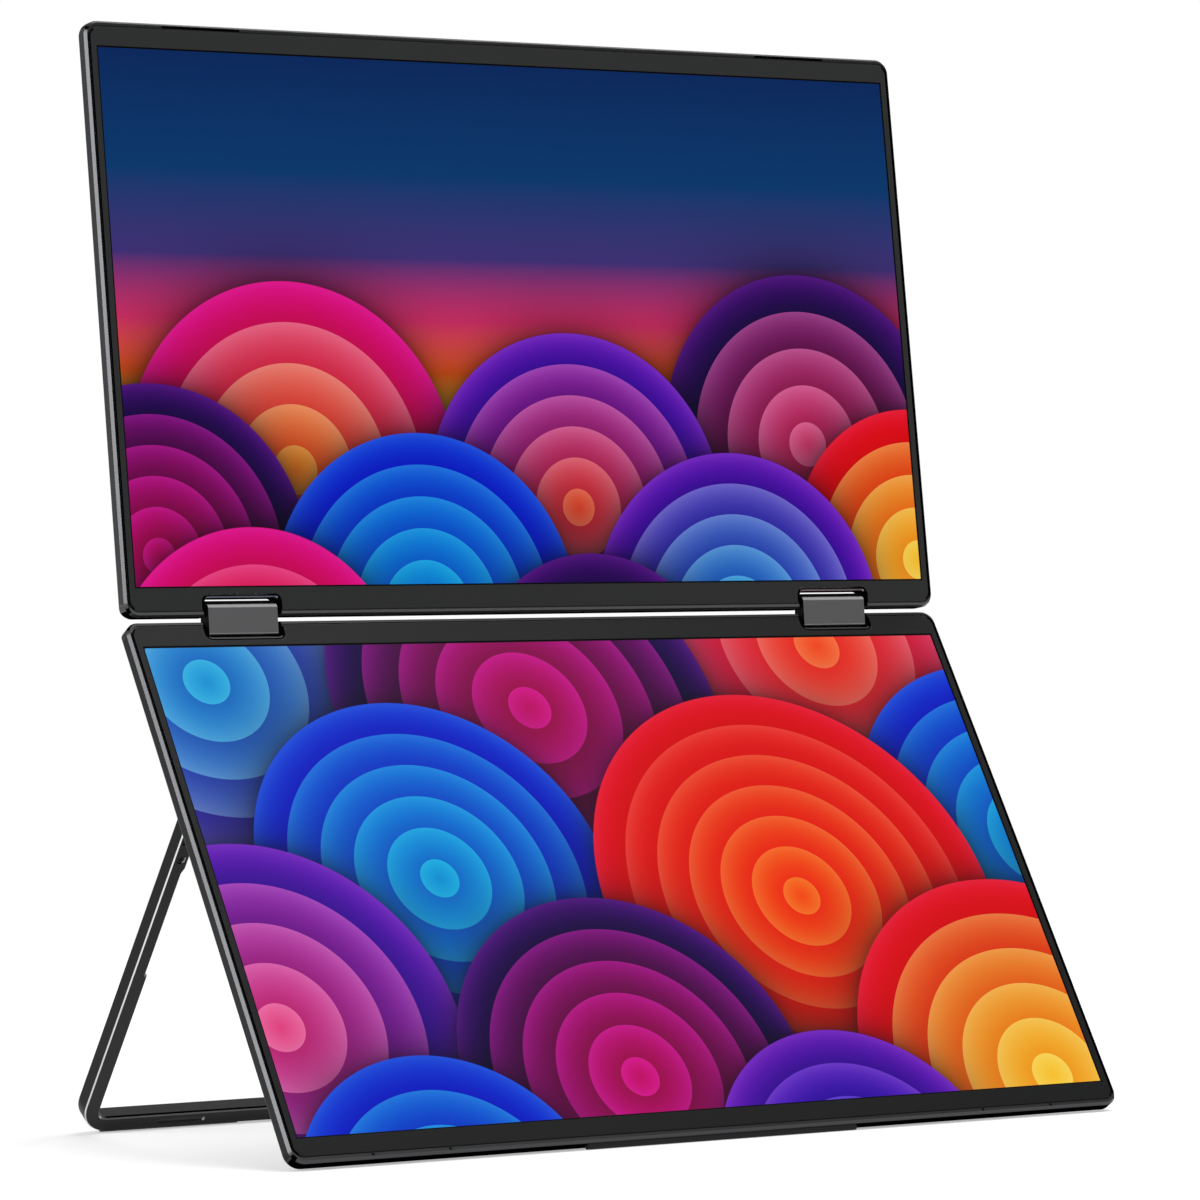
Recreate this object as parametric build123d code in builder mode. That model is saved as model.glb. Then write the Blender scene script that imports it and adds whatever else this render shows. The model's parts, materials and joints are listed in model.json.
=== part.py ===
from build123d import *
import os
from math import acos, atan2, cos, degrees, hypot, radians, sin

# A folding pair of 15.6-inch portable displays, one above the other, joined by two
# double-pin hinges and propped up by a U-shaped kickstand behind the lower one.
# Millimetres and degrees. X is to the right, Y to the back, Z up. The origin is the
# middle of the front foot strip, where its flat lies on the table.

# Screen and borders
screen_w = 344.16
screen_h = 193.59
screen_margin = 0.6
side_border = 4.92
far_border = 9.65
hinge_border = 10.95

# Display halves
panel_t = 6.0
corner_r = 5.5
back_r = 1.5
front_chamfer = 0.8
front_chamfer_depth = 1.2
rim_side = 1.0
rim_end = 1.75
seam = 0.5
ledge = 0.65
pocket_wall = 1.2
floor_t = 1.0
bezel_t = 0.3
cell_t = 0.9
backlight_t = 2.0
module_side = 3.1
module_far = 7.0
module_hinge = 2.0
module_r = 3.0
rib_w = 1.5
rib_side = 27.0
rib_pitch = 50.0
rib_count = 3

# How the object stands and opens
lower_lean = 32.45
link_lean = 5.5
upper_lean = 7.65

# Hinges between the halves
hinge_side = 47.4
axis_inset = 2.75
axis_pitch = 7.7
link_w = 28.4
link_back = 2.7
link_reach = 3.1
link_end_r = 1.9
cap_h = 11.12
cap_rise = 0.13
cap_front = 3.2
cap_t = 1.7
cap_top_r = 1.5
cap_low_r = 0.8
notch_w = 30.1
notch_depth = 6.75
notch_r = 1.5
notch_chamfer = 0.5
notch_wall = 0.9
pin_r = 1.0
pin_collar_r = 1.35
pin_collar_t = 1.2
ear_t = 2.5
ear_gap = 0.3
ear_reach = 5.3
bracket_t = 0.9
bracket_w = 58.0
bracket_start = 3.8
bracket_reach = 20.0

# Clearances
fixed_fit = 0.02
running_fit = 0.05
side_gap = 0.1
loose = 0.3

# Screws
screw_r = 0.8
screw_head_r = 1.7
screw_head_t = 0.6
screw_bite = 0.6

# Kickstand
stand_side = 1.7
stand_t = 6.5
stand_gap = 0.3
stand_rise = 134.345
leg_top_w = 6.0
leg_mid_w = 5.1
leg_low_w = 6.1
lug_end = 13.95
lug_ramp = 2.4
leg_step = 61.65
bar_top = 127.95
bar_h = 5.95
stand_corner_r = 12.0
stand_inner_r = 4.0
stand_edge = 0.4
top_front_r = 3.0
top_back_r = 1.8
slot_side = 41.75
slot_len = 19.3
slot_h = 2.0
slot_depth = 1.2
pad_start = 9.8
pad_len = 56.8
pad_proud = 0.75
pad_w = 5.6
pad_r = 0.6
pad_flat = 0.25
relief_x = 1.2
relief_w = 1.3
relief_y = 1.45
relief_len = 2.2
relief_depth = 0.5

# Kickstand pivots
pivot_r = 1.25
pivot_head_r = 2.2
pivot_head_t = 1.2
leaf_w = 4.65
leaf_h = 4.0
leaf_len = 13.4
leaf_screw_y = 10.05
leaf_screw_x = 2.8
leaf_screw_len = 2.4
head_recess = 0.9
stand_ear_t = 3.0
stand_ear_r = 3.0
stand_plate_t = 1.0
stand_plate_w = 16.0
stand_plate_h = 12.0
stand_plate_r = 1.0

# Front foot strip
strip_len = 116.0
strip_w = 2.8
strip_proud = 1.6
strip_front = 1.2
strip_edge = 0.4
strip_flat = 0.5

# Rear housing and what is in it
housing_side = 25.0
housing_bottom = 98.5
housing_top = 16.5
housing_t = 6.8
housing_wall = 1.5
housing_roof = 1.2
housing_r = 8.0
housing_edge = 1.6
post_r = 2.6
post_side = 12.0
post_low = 88.5
post_high = 9.0
boss_h = 1.2
board_w = 54.0
board_top = 3.0
board_h = 84.0
board_t = 0.8
standoff_h = 0.6
standoff_r = 2.2
board_edge_gap = 1.4
socket_wall = 0.35
socket_gap = 0.2
socket_recess = 0.2
usb_w = 8.94
usb_h = 3.2
usb_len = 7.3
usb_r = 1.1
usb_power_y = -30.0
usb_signal_y = -44.0
hdmi_y = -59.0
hdmi_w = 11.2
hdmi_h = 3.2
hdmi_len = 7.5
audio_y = -72.0
audio_w = 6.0
audio_h = 4.1
audio_len = 12.0
audio_bore_r = 1.78
audio_mouth_r = 2.6
tongue_t = 0.7
tongue_share = 0.75
button_proud = 0.4
button_clear = 0.2
button_h = 2.4
flange_t = 0.6
flange_lip = 0.5
flange_gap = 0.1
button_w = 6.0
power_y = 0.0
plus_y = -9.5
minus_y = -18.0
switch_w = 4.0
switch_d = 3.0
switch_gap = 0.4
speaker_w = 36.0
speaker_h = 18.0
speaker_t = 5.4
speaker_r = 2.0
speaker_gap = 13.1
speaker_y = -80.0
grille_slots = 5
grille_pitch = 3.0
grille_len = 22.0
grille_w = 1.2
timing_side = 72.0
timing_h = 13.0
timing_t = 0.7
chip_t = 0.8
chip_w = 9.0
chip_pitch = 48.0
chip_count = 4
window_w = 40.0
window_h = 10.0
window_y = -25.0

# Worked-out sizes
panel_w = screen_w + 2 * side_border
panel_h = far_border + screen_h + hinge_border
hinge_x = panel_w / 2 - hinge_side
rib_len = panel_w - 2 * rib_side
timing_w = panel_w - 2 * timing_side
stand_w = panel_w - 2 * stand_side
stand_axis_y = stand_rise - panel_h / 2
slot_x = stand_w / 2 - slot_side
housing_w = panel_w - 2 * housing_side
post_x = housing_w / 2 - post_side
axis_depth = panel_t / 2
wall_side = rim_side + ledge
wall_end = rim_end + ledge
screen_shift = (far_border - hinge_border) / 2
cell_z = -bezel_t
light_z = cell_z - cell_t
light_back = light_z - backlight_t
floor_z = floor_t - panel_t
rib_h = light_back - floor_z
module_w = screen_w + 2 * module_side
module_h = module_far + screen_h + module_hinge
module_shift = screen_shift + (module_hinge - module_far) / 2
pivot_height = stand_gap + stand_t / 2
pad_bottom = bar_top + bar_h + pad_proud
housing_h = housing_bottom + housing_top
housing_mid = (housing_top - housing_bottom) / 2
roof_z = housing_roof - panel_t - housing_t
board_z = -panel_t - standoff_h - board_t
board_x = housing_w / 2 - housing_wall - board_edge_gap - board_w / 2
board_y = board_top - board_h / 2
speaker_x = board_x - board_w / 2 - speaker_gap - speaker_w / 2
button_z = board_z - switch_d / 2


def tilted(origin, lean):
    """Plane of a half that leans back by lean: x right, y up along it, z out of its front."""
    return Plane(origin=origin, x_dir=(1, 0, 0), z_dir=(0, -cos(radians(lean)), sin(radians(lean))))


def side_on(frame, x=0.0):
    """Plane square to X at x: its own x runs up along the frame and its y out of the front."""
    return Plane(origin=frame.from_local_coords((x, 0, 0)), x_dir=frame.y_dir, z_dir=frame.x_dir)


def local(frame, x, y, z):
    """A point of the frame, in the object's own coordinates."""
    return Vector(frame.from_local_coords((x, y, z)))


# The lower half is placed by its foot strip: the flat's middle is the origin.
lower_cos = cos(radians(lower_lean))
lower_sin = sin(radians(lower_lean))
flat_y = -panel_h / 2 - strip_proud + strip_flat / lower_cos / 2
flat_z = -strip_front - strip_w + strip_flat / lower_sin / 2
upright = tilted((0, 0, 0), lower_lean)
lower = tilted(local(upright, 0, -flat_y, -flat_z), lower_lean)
lower_axis = local(lower, 0, panel_h / 2 - axis_inset, -axis_depth)
link = tilted(lower_axis, link_lean)
upper_axis = local(link, 0, axis_pitch, 0)
upper_edge = tilted(upper_axis, upper_lean)
upper = tilted(local(upper_edge, 0, panel_h / 2 - axis_inset, axis_depth), upper_lean)

# The kickstand turns about its pivots until its pads lie on the table too.
stand_axis = local(lower, 0, stand_axis_y, -panel_t - pivot_height)
stand_reach = hypot(pad_bottom, pad_w / 2)
stand_lean = degrees(atan2(pad_w / 2, pad_bottom) + acos((stand_axis.Z + pad_flat) / stand_reach))
stand = tilted(stand_axis, -stand_lean)

os.makedirs("parts", exist_ok=True)


def save(part, name):
    """Label a finished piece and write it under its own name."""
    part.label = name
    export_step(part, f"parts/{name}.step")


def facing(frame):
    """The axis along the frame's front normal, for picking faces."""
    return Axis(frame.origin, frame.z_dir)


def notches(edge, grow):
    """The two hinge notches on the edge at edge * panel_h / 2, as closed outlines."""
    length = 2 * (notch_depth + grow)
    with Locations((-hinge_x, edge * panel_h / 2), (hinge_x, edge * panel_h / 2)):
        RectangleRounded(notch_w + 2 * grow, length, notch_r + grow, mode=Mode.SUBTRACT)


def notch_shapes(edge, grow):
    """The same outlines as faces of their own."""
    length = 2 * (notch_depth + grow)
    with Locations((-hinge_x, edge * panel_h / 2), (hinge_x, edge * panel_h / 2)):
        RectangleRounded(notch_w + 2 * grow, length, notch_r + grow)


def bracket_screw_points(edge):
    """Where the two hinge brackets of a half are screwed down."""
    across = bracket_w / 2 - 2 * screw_head_r
    y = edge * (panel_h / 2 - pocket_wall - bracket_reach + 2 * screw_head_r)
    return [(s * hinge_x + t * across, y) for s in (-1, 1) for t in (-1, -1 / 3, 1 / 3, 1)]


def back_cover(frame, edge, is_lower):
    """The metal tray of a half: rim, floor, hinge notches, ribs and screw bosses."""
    with BuildPart() as cover:
        with BuildSketch(frame.offset(-panel_t)):
            with Locations((0, edge * corner_r)):
                RectangleRounded(panel_w, panel_h + 2 * corner_r, corner_r)
        extrude(amount=panel_t)
        fillet(cover.faces().sort_by(facing(frame))[0].edges(), back_r)
        # The hinge edge is cut off square, so its back isn't rounded.
        with BuildSketch(frame.offset(-panel_t)):
            with Locations((0, -edge * corner_r)):
                RectangleRounded(panel_w, panel_h + 2 * corner_r, corner_r)
        extrude(amount=panel_t, mode=Mode.INTERSECT)
        front = cover.faces().sort_by(facing(frame))[-1]
        chamfer(front.edges(), front_chamfer, front_chamfer_depth, reference=front)
        with BuildSketch(frame):
            RectangleRounded(panel_w - 2 * rim_side, panel_h - 2 * rim_end, corner_r - rim_side)
            notches(edge, notch_wall)
        extrude(amount=-bezel_t, mode=Mode.SUBTRACT)
        with BuildSketch(frame.offset(floor_z)):
            RectangleRounded(panel_w - 2 * wall_side, panel_h - 2 * wall_end, corner_r - wall_side)
            notches(edge, notch_wall)
        extrude(amount=-bezel_t - floor_z, mode=Mode.SUBTRACT)
        with BuildSketch(frame.offset(floor_z)):
            pocket_y = edge * (panel_h / 2 - pocket_wall - ear_reach / 2)
            with Locations((-hinge_x, pocket_y), (hinge_x, pocket_y)):
                Rectangle(bracket_w, ear_reach)
            notches(edge, notch_wall)
        extrude(amount=light_z - floor_z, mode=Mode.SUBTRACT)
        with BuildSketch(frame.offset(-panel_t)):
            notch_shapes(edge, 0)
        extrude(amount=panel_t, mode=Mode.SUBTRACT)
        with BuildSketch(frame):
            notch_shapes(edge, notch_chamfer)
        extrude(amount=-notch_chamfer, taper=45, mode=Mode.SUBTRACT)
        pin_span = notch_w + 2 * notch_wall + 2 * ear_gap
        for centre in (-hinge_x, hinge_x):
            with BuildSketch(side_on(frame, centre)):
                with Locations((edge * (panel_h / 2 - axis_inset), -axis_depth)):
                    Circle(pin_r + loose)
            extrude(amount=pin_span / 2, both=True, mode=Mode.SUBTRACT)
        with BuildSketch(frame.offset(floor_z)):
            with GridLocations(0, rib_pitch, 1, rib_count):
                Rectangle(rib_len, rib_w)
        extrude(amount=rib_h)
        with BuildSketch(frame.offset(floor_z)):
            with Locations(*bracket_screw_points(edge)):
                Circle(screw_r + fixed_fit)
        extrude(amount=-screw_bite - side_gap, mode=Mode.SUBTRACT)
        if is_lower:
            with BuildSketch(frame.offset(floor_z)):
                with Locations(*post_points()):
                    Circle(post_r)
            extrude(amount=boss_h)
            with BuildSketch(frame.offset(-panel_t)):
                with Locations(*standoff_points()):
                    Circle(standoff_r)
            extrude(amount=-standoff_h)
            with BuildSketch(frame.offset(-panel_t - standoff_h)):
                with Locations(*standoff_points()):
                    Circle(screw_r + fixed_fit)
            extrude(amount=standoff_h + screw_bite, mode=Mode.SUBTRACT)
            with BuildSketch(frame.offset(-panel_t)):
                with Locations(*post_points()):
                    Circle(screw_r + fixed_fit)
            extrude(amount=floor_t + boss_h - side_gap, mode=Mode.SUBTRACT)
            with BuildSketch(frame.offset(-panel_t)):
                with Locations(*stand_screw_points()):
                    Circle(screw_r + fixed_fit)
            extrude(amount=screw_bite + side_gap, mode=Mode.SUBTRACT)
            with BuildSketch(frame.offset(-panel_t)):
                with Locations((board_x, window_y)):
                    RectangleRounded(window_w, window_h, window_h / 4)
            extrude(amount=floor_t, mode=Mode.SUBTRACT)
    return cover.part


def post_points():
    """Where the rear housing is screwed to the lower back cover."""
    rows = (-post_low, post_high)
    return [(x, y) for x in (-post_x, 0, post_x) for y in rows]


def standoff_points():
    """Where the control board is screwed down."""
    across = board_w / 2 - standoff_r
    up = board_h / 2 - standoff_r
    return [(board_x - across, board_y + up), (board_x - across, board_y - up), (board_x + across, board_y - up)]


def stand_screw_points():
    """Where the two stand brackets are screwed to the lower back cover."""
    plate_x = stand_w / 2 - leg_top_w - loose - (stand_plate_w + stand_ear_t) / 2 - pivot_head_t
    up = stand_plate_h / 2 - screw_head_r - loose
    return [(s * plate_x, stand_axis_y + t * up) for s in (-1, 1) for t in (-1, 1)]


def front_bezel(frame, edge):
    """The thin charcoal sheet that lies in the rim, with the screen's window."""
    with BuildPart() as bezel:
        with BuildSketch(frame.offset(-bezel_t)):
            RectangleRounded(panel_w - 2 * rim_side - 2 * seam, panel_h - 2 * rim_end - 2 * seam,
                             corner_r - rim_side - seam)
            notches(edge, notch_wall + seam)
            with Locations((0, edge * screen_shift)):
                Rectangle(screen_w + 2 * screen_margin, screen_h + 2 * screen_margin, mode=Mode.SUBTRACT)
        extrude(amount=bezel_t)
    return bezel.part


def layer(frame, edge, front, thickness):
    """One flat layer of the display module, its front at height front."""
    with BuildPart() as slab:
        with BuildSketch(frame.offset(front - thickness)):
            with Locations((0, edge * module_shift)):
                RectangleRounded(module_w, module_h, module_r)
        extrude(amount=thickness)
    return slab.part


def timing_board(frame, edge):
    """The slim driver board on the cover's floor, along the far edge."""
    far_y = -edge * (panel_h / 2 - wall_end - loose - timing_h / 2)
    with BuildPart() as board:
        with BuildSketch(frame.offset(floor_z)):
            with Locations((0, far_y)):
                Rectangle(timing_w, timing_h)
        extrude(amount=timing_t)
        with BuildSketch(frame.offset(floor_z + timing_t)):
            with Locations((0, far_y)):
                with GridLocations(chip_pitch, 0, chip_count, 1):
                    Rectangle(chip_w, chip_w)
        extrude(amount=chip_t)
    return board.part


for half, plane, edge in (("lower", lower, 1), ("upper", upper, -1)):
    save(back_cover(plane, edge, half == "lower"), half + "_back_cover")
    save(front_bezel(plane, edge), half + "_front_bezel")
    save(layer(plane, edge, cell_z, cell_t), half + "_display_cell")
    save(layer(plane, edge, light_z, backlight_t), half + "_backlight_unit")
    save(timing_board(plane, edge), half + "_timing_board")


def hinge_bracket(frame, edge, centre):
    """Steel plate under the display, with an ear for each pin end beside its notch."""
    ear_x = notch_w / 2 + notch_wall + ear_gap
    wall_y = panel_h / 2 - pocket_wall
    with BuildPart() as bracket:
        with BuildSketch(frame.offset(floor_z)):
            with Locations((centre, edge * (wall_y - (bracket_start + bracket_reach) / 2))):
                Rectangle(bracket_w, bracket_reach - bracket_start)
            notches(edge, notch_wall + ear_gap)
        extrude(amount=bracket_t)
        for side in (-1, 1):
            with BuildSketch(side_on(frame, centre + side * ear_x)):
                with Locations((edge * (wall_y - ear_reach / 2), (floor_z + light_z) / 2)):
                    Rectangle(ear_reach, light_z - floor_z)
            extrude(amount=side * ear_t)
        with BuildSketch(side_on(frame, centre)):
            with Locations((edge * (panel_h / 2 - axis_inset), -axis_depth)):
                Circle(pin_r + running_fit)
        extrude(amount=bracket_w, both=True, mode=Mode.SUBTRACT)
        with BuildSketch(frame.offset(floor_z)):
            with Locations(*bracket_screw_points(edge)):
                Circle(screw_r + fixed_fit)
        extrude(amount=bracket_t, mode=Mode.SUBTRACT)
    return bracket.part


def hinge_link(centre):
    """The black body between the two pins: rounded at its ends, flat in front."""
    with BuildPart() as body:
        with BuildSketch(side_on(link, centre)):
            with Locations((axis_pitch / 2, 0)):
                RectangleRounded(axis_pitch + 2 * link_reach, 2 * link_back, link_end_r)
            with Locations((axis_pitch / 2, cap_front)):
                Rectangle(axis_pitch + 2 * link_reach, 2 * cap_t, mode=Mode.SUBTRACT)
            with Locations((0, 0), (axis_pitch, 0)):
                Circle(pin_r + fixed_fit, mode=Mode.SUBTRACT)
        extrude(amount=link_w / 2, both=True)
    return body.part


def hinge_cap(centre):
    """The grey metal cap on the front of a link, rounded over at its top and bottom."""
    with BuildPart() as cap:
        with BuildSketch(side_on(link, centre)):
            with Locations((axis_pitch / 2 + cap_rise, cap_front - cap_t / 2)):
                Rectangle(cap_h, cap_t)
        extrude(amount=link_w / 2, both=True)
        front_edges = cap.faces().sort_by(facing(link))[-1].edges().filter_by(Axis.X)
        fillet(front_edges.sort_by(Axis.Z)[-1], cap_top_r)
        front_edges = cap.faces().sort_by(facing(link))[-1].edges().filter_by(Axis.X)
        fillet(front_edges.sort_by(Axis.Z)[0], cap_low_r)
    return cap.part


def hinge_pin(centre, along):
    """A steel pin through a link, with a riveted collar outside each ear."""
    ear_out = notch_w / 2 + notch_wall + ear_gap + ear_t
    with BuildPart() as pin:
        with BuildSketch(side_on(link, centre)):
            with Locations((along, 0)):
                Circle(pin_r)
        extrude(amount=ear_out + side_gap + pin_collar_t, both=True)
        for side in (-1, 1):
            start = centre + side * (ear_out + side_gap)
            with BuildSketch(side_on(link, start)):
                with Locations((along, 0)):
                    Circle(pin_collar_r)
            extrude(amount=side * pin_collar_t)
    return pin.part


for name, centre in (("left", -hinge_x), ("right", hinge_x)):
    save(hinge_bracket(lower, 1, centre), f"lower_{name}_hinge_bracket")
    save(hinge_bracket(upper, -1, centre), f"upper_{name}_hinge_bracket")
    save(hinge_link(centre), f"{name}_hinge_link")
    save(hinge_cap(centre), f"{name}_hinge_cap")
    save(hinge_pin(centre, 0), f"{name}_lower_hinge_pin")
    save(hinge_pin(centre, axis_pitch), f"{name}_upper_hinge_pin")


def screws(plane, points, head_t, length):
    """A group of screws whose heads lie on the plane and whose shanks go into it."""
    with BuildPart() as group:
        with BuildSketch(plane):
            with Locations(*points):
                Circle(screw_head_r)
        extrude(amount=head_t)
        with BuildSketch(plane):
            with Locations(*points):
                Circle(screw_r)
        extrude(amount=-length)
        with BuildSketch(plane.offset(head_t)):
            with Locations(*points):
                Rectangle(screw_head_r, screw_r / 3)
                Rectangle(screw_r / 3, screw_head_r)
        extrude(amount=-head_t / 2, mode=Mode.SUBTRACT)
    return group.part


def flipped(frame, depth):
    """A plane at height depth of the frame that faces out of the back instead."""
    return Plane(origin=local(frame, 0, 0, depth), x_dir=frame.x_dir, z_dir=-frame.z_dir)


def mirrored(points):
    """Points of a frame as the flipped plane counts them."""
    return [(x, -y) for x, y in points]


for half, plane, edge in (("lower", lower, 1), ("upper", upper, -1)):
    screw_plane = plane.offset(floor_z + bracket_t)
    save(screws(screw_plane, bracket_screw_points(edge), screw_head_t, bracket_t + screw_bite),
         half + "_hinge_bracket_screws")

# Front foot strip, flat where it meets the table
with BuildPart() as foot_strip:
    edge_plane = Plane(origin=local(lower, 0, -panel_h / 2, -strip_front - strip_w / 2),
                       x_dir=lower.x_dir, z_dir=-lower.y_dir)
    with BuildSketch(edge_plane):
        SlotOverall(strip_len, strip_w)
    extrude(amount=strip_proud)
    chamfer(foot_strip.faces().sort_by(Axis(edge_plane.origin, edge_plane.z_dir))[-1].edges(), strip_edge)
    split(bisect_by=Plane.XY, keep=Keep.TOP)
save(foot_strip.part, "front_foot_strip")


def stand_window(side):
    """Corners of half of the opening in the kickstand, from its top down to its bar."""
    outer = side * stand_w / 2
    lug_x = outer - side * leg_top_w
    mid_x = outer - side * leg_mid_w
    low_x = outer - side * leg_low_w
    return [(lug_x, stand_t), (lug_x, -lug_end), (mid_x, -lug_end - lug_ramp), (mid_x, -leg_step),
            (low_x, -leg_step - (leg_low_w - leg_mid_w) / 2), (low_x, -bar_top)]


def leaf_outline(grow):
    """A stand leaf seen from the side: round about the pivot, straight down the leg."""
    half = leaf_h / 2 + grow
    Circle(half)
    with Locations((-(leaf_len + grow) / 2, 0)):
        Rectangle(leaf_len + grow, 2 * half)


with BuildPart() as stand_frame:
    with BuildSketch(stand.offset(-stand_t / 2)) as u_shape:
        with Locations((0, (stand_t / 2 - bar_top - bar_h) / 2)):
            Rectangle(stand_w, stand_t / 2 + bar_top + bar_h)
        fillet(u_shape.vertices().group_by(Axis.Y)[0], stand_corner_r)
        with BuildLine():
            Polyline(*stand_window(1), *reversed(stand_window(-1)), close=True)
        make_face(mode=Mode.SUBTRACT)
        inner_corners = [v for v in u_shape.vertices() if abs(v.Y + bar_top) < fixed_fit]
        fillet(inner_corners, stand_inner_r)
    extrude(amount=stand_t)
    stand_front = stand_frame.faces().sort_by(facing(stand))[-1]
    stand_back = stand_frame.faces().sort_by(facing(stand))[0]
    chamfer(stand_front.edges() + stand_back.edges(), stand_edge)
    with BuildSketch(side_on(stand, -stand_w / 2)) as stand_side:
        with Locations((-(bar_top + bar_h - stand_t / 2) / 2, 0)):
            Rectangle(bar_top + bar_h + stand_t / 2, stand_t)
        top_corners = stand_side.vertices().group_by(Axis.X)[-1].sort_by(Axis.Y)
        fillet(top_corners[-1], top_front_r)
        fillet(top_corners[0], top_back_r)
    extrude(amount=stand_w, mode=Mode.INTERSECT)
    for side in (-1, 1):
        outer = side * stand_w / 2
        with BuildSketch(side_on(stand, side * (stand_w / 2 - leg_top_w))):
            leaf_outline(running_fit)
        extrude(amount=side * (leaf_w + running_fit), mode=Mode.SUBTRACT)
        with BuildSketch(stand.offset(stand_t / 2)):
            with Locations((outer - side * leaf_screw_x, -leaf_screw_y)):
                Circle(screw_head_r + running_fit)
        extrude(amount=-head_recess, mode=Mode.SUBTRACT)
        with BuildSketch(stand.offset(stand_t / 2)):
            with Locations((outer - side * leaf_screw_x, -leaf_screw_y)):
                Circle(screw_r + fixed_fit)
        extrude(amount=-stand_t / 2, mode=Mode.SUBTRACT)
        with BuildSketch(stand.offset(stand_t / 2)):
            with BuildLine():
                Polyline((outer - side * relief_x, -relief_y),
                         (outer - side * relief_x, -relief_y - relief_len),
                         (outer - side * (relief_x + relief_w), -relief_y - relief_len), close=True)
            make_face()
        extrude(amount=-relief_depth, mode=Mode.SUBTRACT)
        with BuildSketch(stand.offset(stand_t / 2)):
            with Locations((side * slot_x, -bar_top - bar_h / 2)):
                SlotOverall(slot_len, slot_h)
        extrude(amount=-slot_depth, mode=Mode.SUBTRACT)
save(stand_frame.part, "stand_frame")

with BuildPart() as stand_pads:
    bar_plane = Plane(origin=local(stand, 0, -bar_top - bar_h, 0), x_dir=stand.x_dir, z_dir=-stand.y_dir)
    with BuildSketch(bar_plane):
        pad_x = stand_w / 2 - pad_start - pad_len / 2
        with Locations((-pad_x, 0), (pad_x, 0)):
            RectangleRounded(pad_len, pad_w, pad_r)
    extrude(amount=pad_proud)
    split(bisect_by=Plane.XY, keep=Keep.TOP)
save(stand_pads.part, "stand_pads")


def stand_leaf(side):
    """The steel leaf let into the top of a leg, which turns on the pivot pin."""
    start = side * (stand_w / 2 - leg_top_w + running_fit)
    with BuildPart() as leaf:
        with BuildSketch(side_on(stand, start)):
            leaf_outline(0)
        extrude(amount=side * (leaf_w - running_fit))
        with BuildSketch(side_on(stand, start)):
            Circle(pivot_r + running_fit)
        extrude(amount=side * leaf_w, mode=Mode.SUBTRACT)
        with BuildSketch(stand.offset(leaf_h / 2)):
            with Locations((side * (stand_w / 2 - leaf_screw_x), -leaf_screw_y)):
                Circle(screw_r + fixed_fit)
        extrude(amount=-leaf_screw_len, mode=Mode.SUBTRACT)
    return leaf.part


def stand_bracket(side):
    """The steel bracket on the lower back cover that holds a pivot pin in its ear."""
    ear_x = stand_w / 2 - leg_top_w - loose
    plate_x = side * (ear_x - stand_plate_w / 2)
    back = flipped(lower, -panel_t)
    with BuildPart() as bracket:
        with BuildSketch(back):
            with Locations((plate_x, -stand_axis_y)):
                RectangleRounded(stand_plate_w, stand_plate_h, stand_plate_r)
        extrude(amount=stand_plate_t)
        with BuildSketch(side_on(lower, side * ear_x)):
            with Locations((stand_axis_y, -panel_t - pivot_height)):
                Circle(stand_ear_r)
            with Locations((stand_axis_y, -panel_t - pivot_height / 2)):
                Rectangle(2 * stand_ear_r, pivot_height)
        extrude(amount=-side * stand_ear_t)
        with BuildSketch(side_on(lower, side * ear_x)):
            with Locations((stand_axis_y, -panel_t - pivot_height)):
                Circle(pivot_r + fixed_fit)
        extrude(amount=-side * stand_ear_t, mode=Mode.SUBTRACT)
        with BuildSketch(back):
            with Locations(*mirrored(stand_screw_points())):
                Circle(screw_r + fixed_fit)
        extrude(amount=stand_plate_t, mode=Mode.SUBTRACT)
    return bracket.part


def stand_pin(side):
    """A pivot pin: its head is inside the ear and its shank ends inside the leaf."""
    ear_in = stand_w / 2 - leg_top_w - loose - stand_ear_t
    pin_len = stand_ear_t + loose + leaf_w - running_fit
    with BuildPart() as pin:
        with BuildSketch(side_on(lower, side * ear_in)):
            with Locations((stand_axis_y, -panel_t - pivot_height)):
                Circle(pivot_r)
        extrude(amount=side * pin_len)
        with BuildSketch(side_on(lower, side * ear_in)):
            with Locations((stand_axis_y, -panel_t - pivot_height)):
                Circle(pivot_head_r)
        extrude(amount=-side * pivot_head_t)
    return pin.part


for name, side in (("left", -1), ("right", 1)):
    save(stand_leaf(side), f"{name}_stand_leaf")
    save(stand_bracket(side), f"{name}_stand_bracket")
    save(stand_pin(side), f"{name}_stand_pin")

leaf_points = [(side * (stand_w / 2 - leaf_screw_x), -leaf_screw_y) for side in (-1, 1)]
save(screws(stand.offset(stand_t / 2 - head_recess), leaf_points, screw_head_t, leaf_screw_len), "stand_leaf_screws")
save(screws(flipped(lower, -panel_t - stand_plate_t), mirrored(stand_screw_points()), screw_head_t,
            stand_plate_t + screw_bite), "stand_bracket_screws")


usb_z = board_z - usb_h / 2
hdmi_z = board_z - hdmi_h / 2
audio_z = board_z - audio_h / 2

# Width, height and corner radius of the holes in the rear housing's right wall
usb_hole = (usb_w + 2 * socket_gap, usb_h + 2 * socket_gap, usb_r + socket_gap)
hdmi_hole = (hdmi_w + 2 * socket_gap, hdmi_h + 2 * socket_gap, 2 * socket_wall)
button_hole = (button_w + 2 * button_clear, button_h + 2 * button_clear, flange_lip + button_clear)
wall_holes = [(usb_power_y, usb_z, usb_hole), (usb_signal_y, usb_z, usb_hole), (hdmi_y, hdmi_z, hdmi_hole)]
wall_holes += [(y, button_z, button_hole) for y in (power_y, plus_y, minus_y)]

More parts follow.
